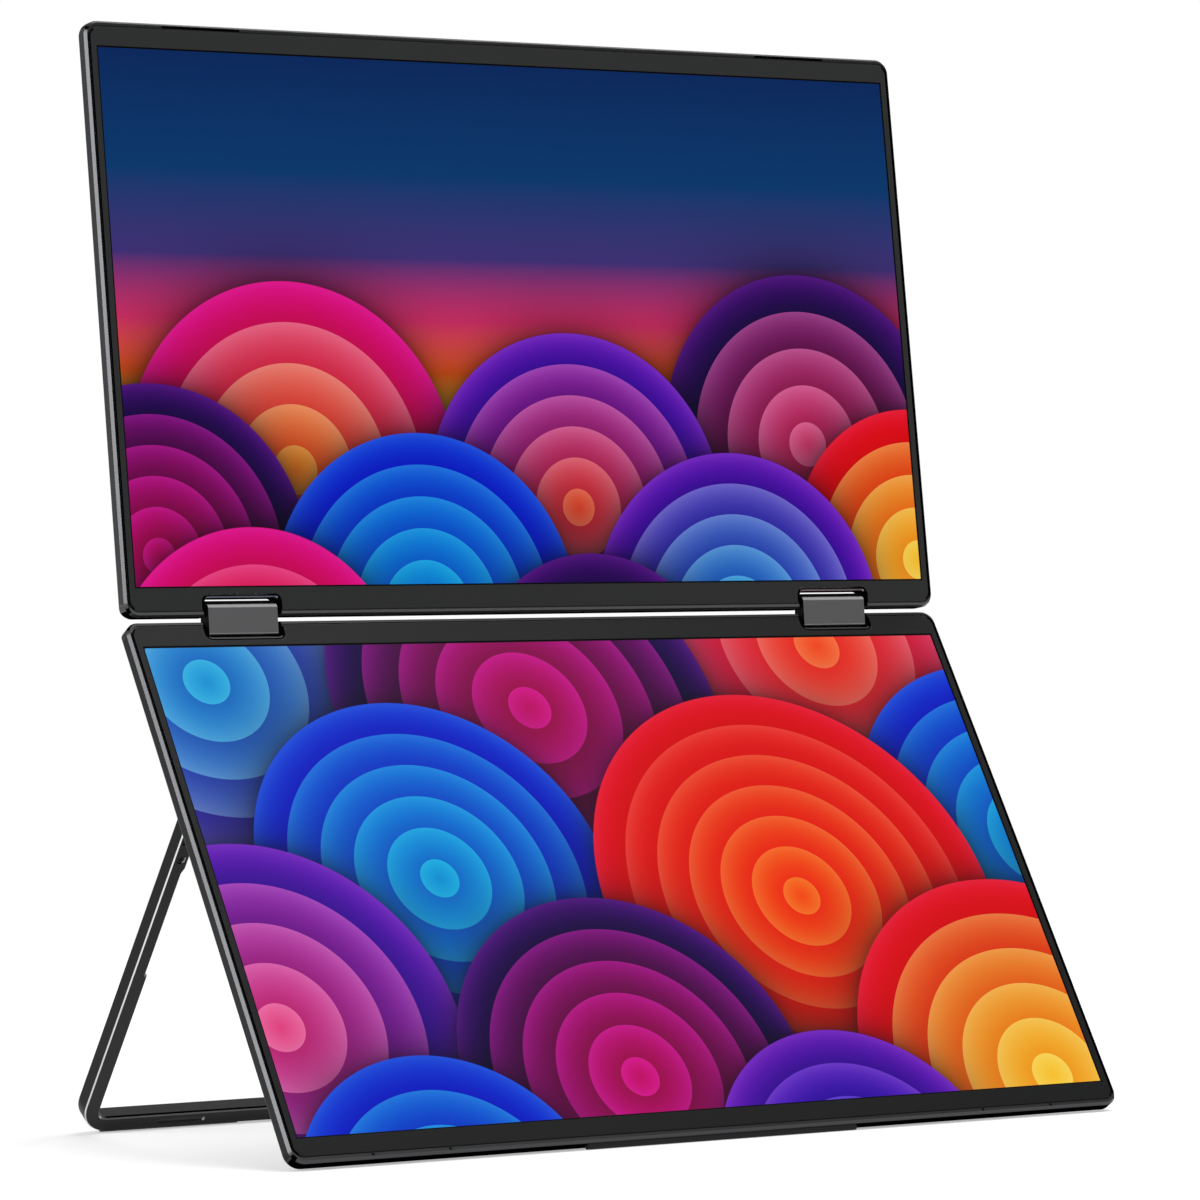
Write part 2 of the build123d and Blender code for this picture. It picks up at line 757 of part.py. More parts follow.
with BuildPart() as rear_housing:
    housing_back = flipped(lower, -panel_t)
    with BuildSketch(housing_back):
        with Locations((0, -housing_mid)):
            RectangleRounded(housing_w, housing_h, housing_r)
    extrude(amount=housing_t)
    fillet(rear_housing.faces().sort_by(facing(lower))[0].edges(), housing_edge)
    with BuildSketch(housing_back):
        with Locations((0, -housing_mid)):
            RectangleRounded(housing_w - 2 * housing_wall, housing_h - 2 * housing_wall, housing_r - housing_wall)
        with Locations(*mirrored(post_points())):
            Circle(post_r, mode=Mode.SUBTRACT)
    extrude(amount=housing_t - housing_roof, mode=Mode.SUBTRACT)
    with BuildSketch(flipped(lower, -panel_t - housing_t)):
        with Locations(*mirrored(post_points())):
            Circle(screw_head_r + side_gap)
    extrude(amount=-screw_head_t - side_gap, mode=Mode.SUBTRACT)
    with BuildSketch(housing_back):
        with Locations(*mirrored(post_points())):
            Circle(screw_r + fixed_fit)
    extrude(amount=housing_t, mode=Mode.SUBTRACT)
    with BuildSketch(housing_back):
        with Locations((-speaker_x, -speaker_y), (speaker_x, -speaker_y)):
            with GridLocations(0, grille_pitch, 1, grille_slots):
                SlotOverall(grille_len, grille_w)
    extrude(amount=housing_t, mode=Mode.SUBTRACT)
    for y, z, (width, height, radius) in wall_holes:
        with BuildSketch(side_on(lower, housing_w / 2 - housing_wall)):
            with Locations((y, z)):
                RectangleRounded(width, height, radius)
        extrude(amount=housing_wall, mode=Mode.SUBTRACT)
    with BuildSketch(side_on(lower, housing_w / 2 - housing_wall)):
        with Locations((audio_y, audio_z)):
            Circle(audio_mouth_r - socket_gap)
    extrude(amount=housing_wall, mode=Mode.SUBTRACT)
save(rear_housing.part, "rear_housing")

with BuildPart() as control_board:
    with BuildSketch(flipped(lower, -panel_t - standoff_h)):
        with Locations((board_x, -board_y)):
            Rectangle(board_w, board_h)
        with Locations(*mirrored(standoff_points())):
            Circle(screw_r + fixed_fit, mode=Mode.SUBTRACT)
    extrude(amount=board_t)
    with BuildSketch(flipped(lower, board_z)):
        with Locations((board_x - chip_w, -board_y)):
            with GridLocations(0, 2 * chip_w, 1, chip_count):
                Rectangle(chip_w, chip_w)
    extrude(amount=chip_t)
save(control_board.part, "control_board")


def socket_shell(y, z, width, height, length, radius):
    """The metal shell of a socket on the board, open at the housing's wall."""
    mouth = housing_w / 2 - socket_recess
    with BuildPart() as shell:
        with BuildSketch(side_on(lower, mouth)):
            with Locations((y, z)):
                RectangleRounded(width, height, radius)
        extrude(amount=-length)
        with BuildSketch(side_on(lower, mouth)):
            with Locations((y, z)):
                RectangleRounded(width - 2 * socket_wall, height - 2 * socket_wall, radius - socket_wall)
        extrude(amount=-length + 2 * socket_wall, mode=Mode.SUBTRACT)
    return shell.part


def socket_tongue(y, z, width, length):
    """The contact tongue that stands up from the back of a socket's shell."""
    root = housing_w / 2 - socket_recess - length + 2 * socket_wall
    with BuildPart() as tongue:
        with BuildSketch(side_on(lower, root)):
            with Locations((y, z)):
                Rectangle(width * tongue_share, tongue_t)
        extrude(amount=length - 2 * socket_wall - tongue_t)
    return tongue.part


for name, y, z, (width, height, length, radius) in (
        ("usb_c_power", usb_power_y, usb_z, (usb_w, usb_h, usb_len, usb_r)),
        ("usb_c_signal", usb_signal_y, usb_z, (usb_w, usb_h, usb_len, usb_r)),
        ("mini_hdmi", hdmi_y, hdmi_z, (hdmi_w, hdmi_h, hdmi_len, 2 * socket_wall))):
    save(socket_shell(y, z, width, height, length, radius), name + "_socket")
    save(socket_tongue(y, z, width, length), name + "_tongue")

with BuildPart() as audio_socket:
    inside = housing_w / 2 - housing_wall
    with BuildSketch(side_on(lower, inside)):
        with Locations((audio_y, audio_z)):
            Rectangle(audio_w, audio_h)
    extrude(amount=-audio_len)
    with BuildSketch(side_on(lower, inside)):
        with Locations((audio_y, audio_z)):
            Circle(audio_bore_r)
    extrude(amount=-audio_len + housing_wall, mode=Mode.SUBTRACT)
save(audio_socket.part, "audio_socket")


def button(y):
    """A side button: its cap stands out through the wall, its flange stays inside."""
    flange_x = housing_w / 2 - housing_wall - flange_gap
    with BuildPart() as cap:
        with BuildSketch(side_on(lower, flange_x)):
            with Locations((y, button_z)):
                RectangleRounded(button_w + 2 * flange_lip, button_h + 2 * flange_lip, flange_lip)
        extrude(amount=-flange_t)
        with BuildSketch(side_on(lower, flange_x)):
            with Locations((y, button_z)):
                RectangleRounded(button_w, button_h, flange_lip)
        extrude(amount=flange_gap + housing_wall + button_proud)
        outer = cap.faces().sort_by(Axis.X)[-1]
        chamfer(outer.edges(), button_proud / 2)
    return cap.part


save(button(power_y), "power_button")
save(button(plus_y), "plus_button")
save(button(minus_y), "minus_button")

with BuildPart() as switches:
    switch_x = housing_w / 2 - housing_wall - flange_gap - flange_t - switch_gap
    with BuildSketch(side_on(lower, switch_x)):
        with Locations((power_y, button_z), (plus_y, button_z), (minus_y, button_z)):
            Rectangle(switch_w, switch_d)
    extrude(amount=-switch_d)
save(switches.part, "button_switches")


def speaker(x):
    """A flat speaker on the lower back cover, under its slots in the housing."""
    with BuildPart() as box:
        with BuildSketch(flipped(lower, -panel_t)):
            with Locations((x, -speaker_y)):
                RectangleRounded(speaker_w, speaker_h, speaker_r)
        extrude(amount=speaker_t)
        with BuildSketch(flipped(lower, -panel_t - speaker_t)):
            with Locations((x, -speaker_y)):
                SlotOverall(grille_len, speaker_h / 2)
        extrude(amount=-speaker_t / 4, mode=Mode.SUBTRACT)
    return box.part


save(speaker(-speaker_x), "left_speaker")
save(speaker(speaker_x), "right_speaker")

housing_screw_plane = flipped(lower, -panel_t - housing_t + screw_head_t + side_gap)
save(screws(housing_screw_plane, mirrored(post_points()), screw_head_t, housing_t - screw_head_t + floor_t),
     "rear_housing_screws")
save(screws(flipped(lower, board_z), mirrored(standoff_points()), screw_head_t, board_t + standoff_h + screw_bite / 2),
     "control_board_screws")

print("lower half's middle", lower.origin, "upper half's middle", upper.origin)
print("lower axis", lower_axis, "upper axis", upper_axis)
print("stand axis", stand_axis, "leaning", round(stand_lean, 3))
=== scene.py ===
# %% [markdown]
# This scene dresses a folding pair of portable displays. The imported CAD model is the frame: every
# solid is already at its real size and place, so this script only adds looks. Each shell that is
# seen gets a finely rounded copy of its solid, each surface gets a node material, and the screens
# get a picture that is worked out by nodes.

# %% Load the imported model
import json
import math
from functools import partial

import bmesh
import bpy
from mathutils import Matrix, Vector


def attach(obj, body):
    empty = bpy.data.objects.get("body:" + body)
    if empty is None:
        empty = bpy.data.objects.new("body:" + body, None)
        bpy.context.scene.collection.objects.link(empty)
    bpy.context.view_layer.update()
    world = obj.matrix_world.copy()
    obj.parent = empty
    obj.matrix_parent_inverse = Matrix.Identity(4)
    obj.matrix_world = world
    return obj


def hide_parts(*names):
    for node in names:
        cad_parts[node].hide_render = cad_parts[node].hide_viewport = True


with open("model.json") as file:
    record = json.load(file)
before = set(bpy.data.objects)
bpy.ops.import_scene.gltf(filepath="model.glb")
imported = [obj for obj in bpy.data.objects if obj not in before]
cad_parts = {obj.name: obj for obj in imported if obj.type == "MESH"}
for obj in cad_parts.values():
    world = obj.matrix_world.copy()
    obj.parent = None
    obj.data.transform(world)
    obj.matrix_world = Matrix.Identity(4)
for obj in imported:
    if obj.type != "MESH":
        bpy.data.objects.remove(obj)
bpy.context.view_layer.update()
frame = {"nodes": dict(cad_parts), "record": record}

# %% [markdown]
# The camera comes first, because every later choice is judged through it. The photograph was taken
# with a long lens from a little over two metres away, from the left, almost level with the hinges.
# A camera matrix is built from three directions: right, up and back.

# %% Place the camera
camera_data = bpy.data.cameras.new("product_camera")
camera_data.lens = 175.0
camera_data.sensor_width = 36.0
camera_data.clip_end = 100.0
camera = bpy.data.objects.new("product_camera", camera_data)
bpy.context.scene.collection.objects.link(camera)
eye = Vector((-1.17095, -1.69027, 0.21465))
ahead = Vector((0.55237, 0.83352, -0.01171)).normalized()
right = Vector((0.83353, -0.55245, -0.00463)).normalized()
up = right.cross(ahead).normalized()
object_middle = Vector((0, 0.08, 0.2))
camera.matrix_world = Matrix.Translation(eye) @ Matrix((right, up, -ahead)).transposed().to_4x4()
bpy.context.scene.camera = camera
print("camera stands", round((eye - object_middle).length, 3), "m from the object")

# %% [markdown]
# Product photographs of this kind have a floor and a background that run into each other. One big
# disc does both. Near the object it is a pale matt floor that takes soft shadows and glows a
# little, like a sheet of white acrylic with a lamp under it, which lifts the shadows. Further out
# it glows in the same white as the world behind it, so no horizon shows from any side.

# %% Lay the floor
FLOOR_GLOW = 0.4
FLOOR_NEAR = 0.4
FLOOR_FAR = 1.5
FLOOR_RADIUS = 40.0
FLOOR_SIDES = 96


def new_material(name):
    """A node material with its Principled shader and output ready to wire."""
    material = bpy.data.materials.new(name)
    material.use_nodes = True
    tree = material.node_tree
    return material, tree, tree.nodes["Principled BSDF"]


def add_node(tree, kind, **values):
    """Adds a node and sets its properties by name."""
    node = tree.nodes.new(kind)
    for key, value in values.items():
        setattr(node, key, value)
    return node


def add_maths(tree, operation, a, b=None, c=None, clamp=False):
    """The result of a Math node whose inputs are sockets or plain numbers."""
    node = add_node(tree, "ShaderNodeMath", operation=operation, use_clamp=clamp)
    for index, value in enumerate((a, b, c)):
        if value is None:
            continue
        if isinstance(value, (int, float)):
            node.inputs[index].default_value = value
        else:
            tree.links.new(value, node.inputs[index])
    return node.outputs["Value"]


def make_floor_material():
    """Matt with a faint glow near the object, all glow far from it."""
    material, tree, shader = new_material("pale_floor")
    shader.inputs["Base Color"].default_value = (0.9, 0.9, 0.9, 1)
    shader.inputs["Roughness"].default_value = 0.9
    shader.inputs["Specular IOR Level"].default_value = 0.1
    place = add_node(tree, "ShaderNodeTexCoord")
    reach = add_node(tree, "ShaderNodeVectorMath", operation="LENGTH")
    fade = add_node(tree, "ShaderNodeMapRange", interpolation_type="SMOOTHSTEP")
    fade.inputs["From Min"].default_value = FLOOR_NEAR
    fade.inputs["From Max"].default_value = FLOOR_FAR
    fade.inputs["To Min"].default_value = FLOOR_GLOW
    glow = add_node(tree, "ShaderNodeEmission")
    glow.inputs["Strength"].default_value = 1.0
    mix = add_node(tree, "ShaderNodeMixShader")
    tree.links.new(place.outputs["Object"], reach.inputs[0])
    tree.links.new(reach.outputs["Value"], fade.inputs["Value"])
    tree.links.new(fade.outputs["Result"], mix.inputs["Fac"])
    tree.links.new(shader.outputs["BSDF"], mix.inputs[1])
    tree.links.new(glow.outputs["Emission"], mix.inputs[2])
    tree.links.new(mix.outputs["Shader"], tree.nodes["Material Output"].inputs["Surface"])
    return material


floor_mesh = bpy.data.meshes.new("studio_floor")
shape = bmesh.new()
bmesh.ops.create_circle(shape, cap_ends=True, radius=FLOOR_RADIUS, segments=FLOOR_SIDES)
shape.to_mesh(floor_mesh)
shape.free()
floor = bpy.data.objects.new("studio_floor", floor_mesh)
bpy.context.scene.collection.objects.link(floor)
floor.data.materials.append(make_floor_material())
print("floor fades to white from", FLOOR_NEAR, "to", FLOOR_FAR, "m")

# %% [markdown]
# Dark satin metal is drawn by what it reflects. The world is a soft white that is dimmer in
# reflections than behind the object, so the charcoal stays dark, and a few large softboxes put
# the thin bright lines on the rims, helped by painted highlights in lighter metal on some edges.

# %% Light the studio
FILL_STRENGTH = 0.45
LAMP_TARGET = (0, 0.1, 0.2)
bpy.context.scene.view_settings.view_transform = "Standard"
bpy.context.scene.view_settings.look = "None"
world = bpy.data.worlds.new("studio")
bpy.context.scene.world = world
world.use_nodes = True
sky = world.node_tree
seen = sky.nodes["Background"]
seen.inputs["Color"].default_value = (1, 1, 1, 1)
seen.inputs["Strength"].default_value = 1.0
fill = add_node(sky, "ShaderNodeBackground")
fill.inputs["Color"].default_value = (1, 1, 1, 1)
fill.inputs["Strength"].default_value = FILL_STRENGTH
ray = add_node(sky, "ShaderNodeLightPath")
choose = add_node(sky, "ShaderNodeMixShader")
sky.links.new(ray.outputs["Is Camera Ray"], choose.inputs["Fac"])
sky.links.new(fill.outputs["Background"], choose.inputs[1])
sky.links.new(seen.outputs["Background"], choose.inputs[2])
sky.links.new(choose.outputs["Shader"], sky.nodes["World Output"].inputs["Surface"])

# name, centre, width, height, power in watts
softboxes = [
    ("left_softbox", (-2.2, 0.0, 1.05), 1.0, 1.7, 42.0),
    ("top_softbox", (0.7, 0.1, 2.2), 2.4, 1.2, 46.0),
    ("right_softbox", (2.0, 0.9, 1.0), 0.9, 1.4, 20.0),
]


def add_softbox(name, centre, width, height, power):
    """A rectangular light that faces the object."""
    data = bpy.data.lights.new(name, "AREA")
    data.shape = "RECTANGLE"
    data.size = width
    data.size_y = height
    data.energy = power
    lamp = bpy.data.objects.new(name, data)
    aim = Vector(LAMP_TARGET) - Vector(centre)
    facing = aim.to_track_quat("-Z", "Y").to_matrix().to_4x4()
    lamp.matrix_world = Matrix.Translation(centre) @ facing
    bpy.context.scene.collection.objects.link(lamp)


for softbox in softboxes:
    add_softbox(*softbox)
print("softboxes:", [name for name, *rest in softboxes])

# %% [markdown]
# Each half, the kickstand and the hinge links lie on planes that lean. A picture or a brushed
# grain has to follow such a plane, so the Mapping node is set to Texture mode: it undoes the
# plane's place and turn, and gives x across, y up along the plane and z out of its front.

# %% Note the leaning planes
# name: a point of the plane in metres, its turn about the X axis
planes = {
    "lower": (Vector((0, 0.0551805, 0.0933696)), math.radians(90 - 32.45)),
    "upper": (Vector((0, 0.125355, 0.291293)), math.radians(90 - 7.65)),
    "link": (Vector((0, 0.1137, 0.179812)), math.radians(90 - 5.5)),
    "stand": (Vector((0, 0.0778608, 0.111241)), math.radians(90 + 35.315)),
}


def plane_point(plane, x, y, z):
    """A point of a leaning plane, in the object's own metres."""
    origin, turn = planes[plane]
    return origin + Matrix.Rotation(turn, 3, "X") @ Vector((x, y, z))


def on_plane(plane, point, normal):
    """A face's middle and normal as the leaning plane counts them."""
    origin, turn = planes[plane]
    back = Matrix.Rotation(-turn, 3, "X")
    return back @ (point - origin), back @ normal


def faces_front(plane, normal):
    """Whether a face looks straight out of the plane's front."""
    return on_plane(plane, Vector(), normal)[1].z > 0.999


def plane_coordinates(tree, plane):
    """The socket that gives a surface point's place on a leaning plane."""
    origin, turn = planes[plane]
    place = add_node(tree, "ShaderNodeTexCoord")
    turned = add_node(tree, "ShaderNodeMapping", vector_type="TEXTURE")
    turned.inputs["Location"].default_value = origin
    turned.inputs["Rotation"].default_value = (turn, 0, 0)
    tree.links.new(place.outputs["Object"], turned.inputs["Vector"])
    return turned.outputs["Vector"]


print("upper half's middle:", [round(v, 4) for v in plane_point("upper", 0, 0, 0)])

# %% [markdown]
# Fine grain is on every finish here: blasted metal, moulded plastic and rubber all scatter light
# from tiny pits. One shared node group makes it. It mixes a fine noise for the pits with a broad
# one for the slow unevenness that handling leaves, and gives a height, a tone and a roughness.

# %% Make the grain group
GRAIN_INPUTS = (("Grain Scale", 9000.0), ("Tone Spread", 0.06), ("Roughness", 0.4),
                ("Roughness Spread", 0.08))


def make_grain_group():
    """Height, tone and roughness of a fine-grained surface with some handling marks."""
    group = bpy.data.node_groups.new("fine_grain", "ShaderNodeTree")
    sockets = group.interface
    sockets.new_socket("Vector", in_out="INPUT", socket_type="NodeSocketVector")
    for name, value in GRAIN_INPUTS:
        socket = sockets.new_socket(name, in_out="INPUT", socket_type="NodeSocketFloat")
        socket.default_value = value
    for name in ("Height", "Tone", "Roughness"):
        sockets.new_socket(name, in_out="OUTPUT", socket_type="NodeSocketFloat")
    start = add_node(group, "NodeGroupInput")
    end = add_node(group, "NodeGroupOutput")
    pits = add_node(group, "ShaderNodeTexNoise")
    pits.inputs["Detail"].default_value = 3.0
    marks = add_node(group, "ShaderNodeTexNoise")
    marks.inputs["Scale"].default_value = 38.0
    marks.inputs["Detail"].default_value = 6.0
    marks.inputs["Roughness"].default_value = 0.62
    group.links.new(start.outputs["Vector"], pits.inputs["Vector"])
    group.links.new(start.outputs["Grain Scale"], pits.inputs["Scale"])
    group.links.new(start.outputs["Vector"], marks.inputs["Vector"])
    group.links.new(pits.outputs["Fac"], end.inputs["Height"])

    maths = partial(add_maths, group)
    centred = maths("SUBTRACT", maths("ADD", pits.outputs["Fac"], marks.outputs["Fac"]), 1.0)
    tone = maths("MULTIPLY_ADD", centred, start.outputs["Tone Spread"], 1.0)
    group.links.new(tone, end.inputs["Tone"])
    offset = maths("SUBTRACT", marks.outputs["Fac"], 0.5)
    rough = maths("MULTIPLY_ADD", offset, start.outputs["Roughness Spread"], start.outputs["Roughness"])
    group.links.new(rough, end.inputs["Roughness"])
    return group


grain_group = make_grain_group()
print("grain group inputs:", [s.name for s in grain_group.interface.items_tree if s.in_out == "INPUT"])

# %% [markdown]
# Most finishes differ only in colour, grain size, gloss and how metallic they are, so one builder
# wires them all. The colour is multiplied by the grain's tone, and a Bump node turns its height
# into tiny changes of the normal. A stretched grain gives a brushed look, as on the covers and
# the hinge caps. The first set has one finish for each material slot of the model but the
# screens'. The others are for single faces: a bright cut edge and black-oxide screws, and painted
# light: lighter copies as painted highlights on edges and roundings, a lighter slot floor against
# its shade, and darker copies and black as painted shade for places in shadow.

# %% Build the grained finishes
def grained(name, color, metallic, roughness, grain=9000.0, depth=0.00001, tone=0.06, spread=0.08,
            specular=0.5, stretch=(1, 1, 1), plane=None, coat=0.0):
    """A material with fine grain: color is its base, depth its grain's height in metres."""
    material, tree, shader = new_material(name)
    group = add_node(tree, "ShaderNodeGroup")
    group.node_tree = grain_group
    group.inputs["Grain Scale"].default_value = grain
    group.inputs["Tone Spread"].default_value = tone
    group.inputs["Roughness"].default_value = roughness
    group.inputs["Roughness Spread"].default_value = spread
    if plane:
        place = plane_coordinates(tree, plane)
    else:
        place = add_node(tree, "ShaderNodeTexCoord").outputs["Object"]
    stretched = add_node(tree, "ShaderNodeMapping")
    stretched.inputs["Scale"].default_value = stretch
    tree.links.new(place, stretched.inputs["Vector"])
    tree.links.new(stretched.outputs["Vector"], group.inputs["Vector"])
    tint = add_node(tree, "ShaderNodeVectorMath", operation="SCALE")
    tint.inputs[0].default_value = color
    tree.links.new(group.outputs["Tone"], tint.inputs["Scale"])
    tree.links.new(tint.outputs["Vector"], shader.inputs["Base Color"])
    tree.links.new(group.outputs["Roughness"], shader.inputs["Roughness"])
    bump = add_node(tree, "ShaderNodeBump")
    bump.inputs["Strength"].default_value = 0.5
    bump.inputs["Distance"].default_value = depth
    tree.links.new(group.outputs["Height"], bump.inputs["Height"])
    tree.links.new(bump.outputs["Normal"], shader.inputs["Normal"])
    shader.inputs["Metallic"].default_value = metallic
    shader.inputs["Specular IOR Level"].default_value = specular
    shader.inputs["Coat Weight"].default_value = coat
    return material


finishes = {
    "cover_metal": grained("charcoal_anodising", (0.017, 0.0174, 0.018), 0.55, 0.36, grain=1800.0,
                           depth=0.000004, tone=0.9, spread=0.2, stretch=(0.03, 1, 1)),
    "bezel_sheet": grained("bezel_sheet", (0.0155, 0.0162, 0.0162), 0.0, 0.42, grain=6000.0, specular=0.25),
    "light_guide": grained("white_diffuser", (0.8, 0.8, 0.79), 0.0, 0.5),
    "circuit_board": grained("green_solder_mask", (0.02, 0.12, 0.05), 0.0, 0.35, grain=2500.0,
                             tone=0.3, coat=0.4),
    "steel": grained("pressed_steel", (0.56, 0.56, 0.57), 1.0, 0.28),
    "hinge_metal": grained("satin_gunmetal", (0.15, 0.151, 0.155), 0.85, 0.33, grain=5000.0,
                           stretch=(0.06, 1, 1), plane="link"),
    "hinge_black": grained("black_link_paint", (0.002, 0.002, 0.002), 0.0, 0.55, specular=0.06),
    "housing_plastic": grained("housing_plastic", (0.014, 0.014, 0.015), 0.0, 0.5, grain=3200.0,
                               depth=0.00004),
    "stand_metal": grained("stand_anodising", (0.02, 0.0203, 0.021), 0.6, 0.34, specular=0.3),
    "rubber": grained("black_rubber", (0.004, 0.004, 0.004), 0.0, 0.72, grain=2600.0, depth=0.00005,
                      specular=0.3),
    "button_plastic": grained("button_plastic", (0.008, 0.008, 0.009), 0.0, 0.28),
}
# Painted shade: the lower bezel is a darker copy of the bezel sheet, since less light falls on it.
lower_bezel_shade = grained("lower_bezel_sheet", (0.0055, 0.0058, 0.006), 0.0, 0.42, grain=6000.0, specular=0.12)
# Painted shade: a darker copy of the cover metal for the lower half's side walls.
lower_side_shade = grained("lower_wall_anodising", (0.006, 0.0062, 0.0064), 0.4, 0.4, specular=0.15)
# Painted shade: a darker copy of the stand metal for walls that face away from the lamps.
stand_side_shade = grained("stand_wall_anodising", (0.004, 0.0041, 0.0043), 0.25, 0.42, specular=0.08)
# Painted highlight: the rim's chamfers take a lighter metal than the cover.
rim_chamfer_highlight = grained("cut_rim_edge", (0.055, 0.056, 0.059), 0.8, 0.3)
bright_cut = grained("bright_cut_edge", (0.7, 0.705, 0.715), 1.0, 0.26)
# Painted highlight: a lighter grey on the chamfer over the kickstand's bar.
bar_ledge_highlight = grained("soft_cut_edge", (0.16, 0.162, 0.166), 0.2, 0.5)
# Painted light: the finger slots' floor is lighter to lift the shade inside them.
slot_floor = grained("slot_floor", (0.07, 0.071, 0.073), 0.0, 0.6, specular=0.2)
# Painted highlight: the left-facing wall at the end of a slot or screw recess.
recess_end_highlight = grained("recess_lit_end", (0.75, 0.752, 0.76), 0.1, 0.5)
# Painted highlight: a lighter copy of the cover metal on the flat rim along the upper half's bottom edge.
hinge_rim_highlight = grained("rim_front_anodising", (0.09, 0.0905, 0.092), 0.55, 0.36)
# Painted highlight: a lighter metal on the slant along a notch's inner end.
notch_end_highlight = grained("notch_cut_edge", (0.26, 0.263, 0.27), 1.0, 0.35)
# Painted highlights: lighter copies of the gunmetal on the rounded top and foot of a hinge cap.
cap_top_highlight = grained("cap_rounding", (0.28, 0.282, 0.287), 0.2, 0.62, stretch=(0.06, 1, 1), plane="link")
cap_foot_highlight = grained("cap_foot_rounding", (0.24, 0.242, 0.248), 0.85, 0.4, stretch=(0.06, 1, 1), plane="link")
# Painted shade in black: seams, notch sides, recesses, the bezel's strip beside the rim, a line on the
# kickstand's bar and the halves' bottom walls.
inner_black = grained("inner_black", (0.001, 0.001, 0.001), 0.0, 0.8, specular=0.0)
black_oxide = grained("black_oxide_steel", (0.02, 0.02, 0.021), 0.9, 0.35)
print("grained finishes:", len(finishes))

# %% [markdown]
# The screens show a picture, so their surface glows. The picture is a generic one of stacked
# paper discs: each disc is cut in rings that shade from one colour to another and are brightest
# along their outer edge, and it drops a soft shadow on what lies under it. One group draws one
# disc over the picture so far, and a chain of them draws the whole.

# %% Make the paper disc group
DISC_INPUTS = (("Radius", 0.1), ("Ring", 0.03), ("Shadow", 0.75), ("Soft", 0.025))
EDGE_SHARPNESS = 900.0
RING_GAMMA_START = 0.8
RING_GAMMA_SPREAD = 0.75


def make_disc_group():
    """Draws one ringed disc over the picture that comes in."""
    group = bpy.data.node_groups.new("paper_disc", "ShaderNodeTree")
    sockets = group.interface
    sockets.new_socket("Under", in_out="INPUT", socket_type="NodeSocketColor")
    sockets.new_socket("Place", in_out="INPUT", socket_type="NodeSocketVector")
    sockets.new_socket("Centre", in_out="INPUT", socket_type="NodeSocketVector")
    for name, value in DISC_INPUTS:
        socket = sockets.new_socket(name, in_out="INPUT", socket_type="NodeSocketFloat")
        socket.default_value = value
    for name in ("Core Colour", "Rim Colour"):
        sockets.new_socket(name, in_out="INPUT", socket_type="NodeSocketColor")
    sockets.new_socket("Colour", in_out="OUTPUT", socket_type="NodeSocketColor")
    start = add_node(group, "NodeGroupInput")
    end = add_node(group, "NodeGroupOutput")

    def blended(factor, a, b):
        """One colour Mix node from sockets."""
        node = add_node(group, "ShaderNodeMix", data_type="RGBA")
        colours = [s for s in node.inputs if s.type == "RGBA"]
        group.links.new(factor, node.inputs["Factor"])
        group.links.new(a, colours[0])
        group.links.new(b, colours[1])
        return [s for s in node.outputs if s.type == "RGBA"][0]

    maths = partial(add_maths, group)
    radius = start.outputs["Radius"]
    ring = start.outputs["Ring"]
    away = add_node(group, "ShaderNodeVectorMath", operation="SUBTRACT")
    group.links.new(start.outputs["Place"], away.inputs[0])
    group.links.new(start.outputs["Centre"], away.inputs[1])
    length = add_node(group, "ShaderNodeVectorMath", operation="LENGTH")
    group.links.new(away.outputs["Vector"], length.inputs[0])
    reach = length.outputs["Value"]
    outside = maths("SUBTRACT", reach, radius)
    cover = maths("MULTIPLY_ADD", outside, -EDGE_SHARPNESS, 0.5, clamp=True)

    rings = maths("DIVIDE", maths("SUBTRACT", radius, reach), ring)
    step = maths("DIVIDE", maths("FLOOR", rings), maths("DIVIDE", radius, ring), clamp=True)
    inner = blended(step, start.outputs["Rim Colour"], start.outputs["Core Colour"])
    gamma = maths("MULTIPLY_ADD", maths("FRACT", rings), RING_GAMMA_SPREAD, RING_GAMMA_START)
    fold = add_node(group, "ShaderNodeGamma")
    group.links.new(inner, fold.inputs["Color"])
    group.links.new(gamma, fold.inputs["Gamma"])

    fall = maths("MULTIPLY", maths("MAXIMUM", outside, 0.0), -1.0)
    near = maths("EXPONENT", maths("DIVIDE", fall, start.outputs["Soft"]))
    dark = maths("MULTIPLY_ADD", maths("MULTIPLY", near, start.outputs["Shadow"]), -1.0, 1.0)
    dim = add_node(group, "ShaderNodeVectorMath", operation="SCALE")
    group.links.new(start.outputs["Under"], dim.inputs[0])
    group.links.new(dark, dim.inputs["Scale"])
    drawn = blended(cover, dim.outputs["Vector"], fold.outputs["Color"])
    group.links.new(drawn, end.inputs["Colour"])
    return group


disc_group = make_disc_group()
print("disc group nodes:", len(disc_group.nodes))

# %% [markdown]
# A screen's material lies on the display cell. Its picture is laid out in widths of the lit area,
# so the area reaches from -0.5 to 0.5 across and from -9/32 to 9/32 along. Its middle lies a hair
# off the half's middle. Behind the discs lies a colour ramp, which is dark blue at the top of the
# upper screen. The surface itself is black anti-glare film: the picture only goes to Emission
# Color, so it keeps its colours in any light.

# %% Lay out the two pictures
SCREEN_WIDTH = 0.34416
SCREEN_STRENGTH = 0.95
SCREEN_SHIFT = {"lower": -0.00065, "upper": 0.00065}
HALF_TALL = 9 / 32
CORE_RINGS = 0.6


def rgb(red, green, blue):
    """An 8-bit screen colour as the linear colour that nodes use."""
    return tuple((v / 255) ** 2.2 for v in (red, green, blue)) + (1,)


navy = rgb(2, 42, 92)
teal = rgb(2, 58, 108)
dusk = rgb(64, 50, 116)
cyan = rgb(20, 170, 226)
blue = rgb(22, 62, 210)
violet = rgb(96, 30, 176)
purple = rgb(62, 14, 104)
plum = rgb(60, 20, 116)
wine = rgb(140, 16, 90)
magenta = rgb(214, 16, 122)
rose = rgb(206, 48, 100)
pink = rgb(246, 92, 140)
red = rgb(226, 20, 40)
orange = rgb(252, 98, 24)
amber = rgb(255, 158, 36)
yellow = rgb(255, 214, 70)

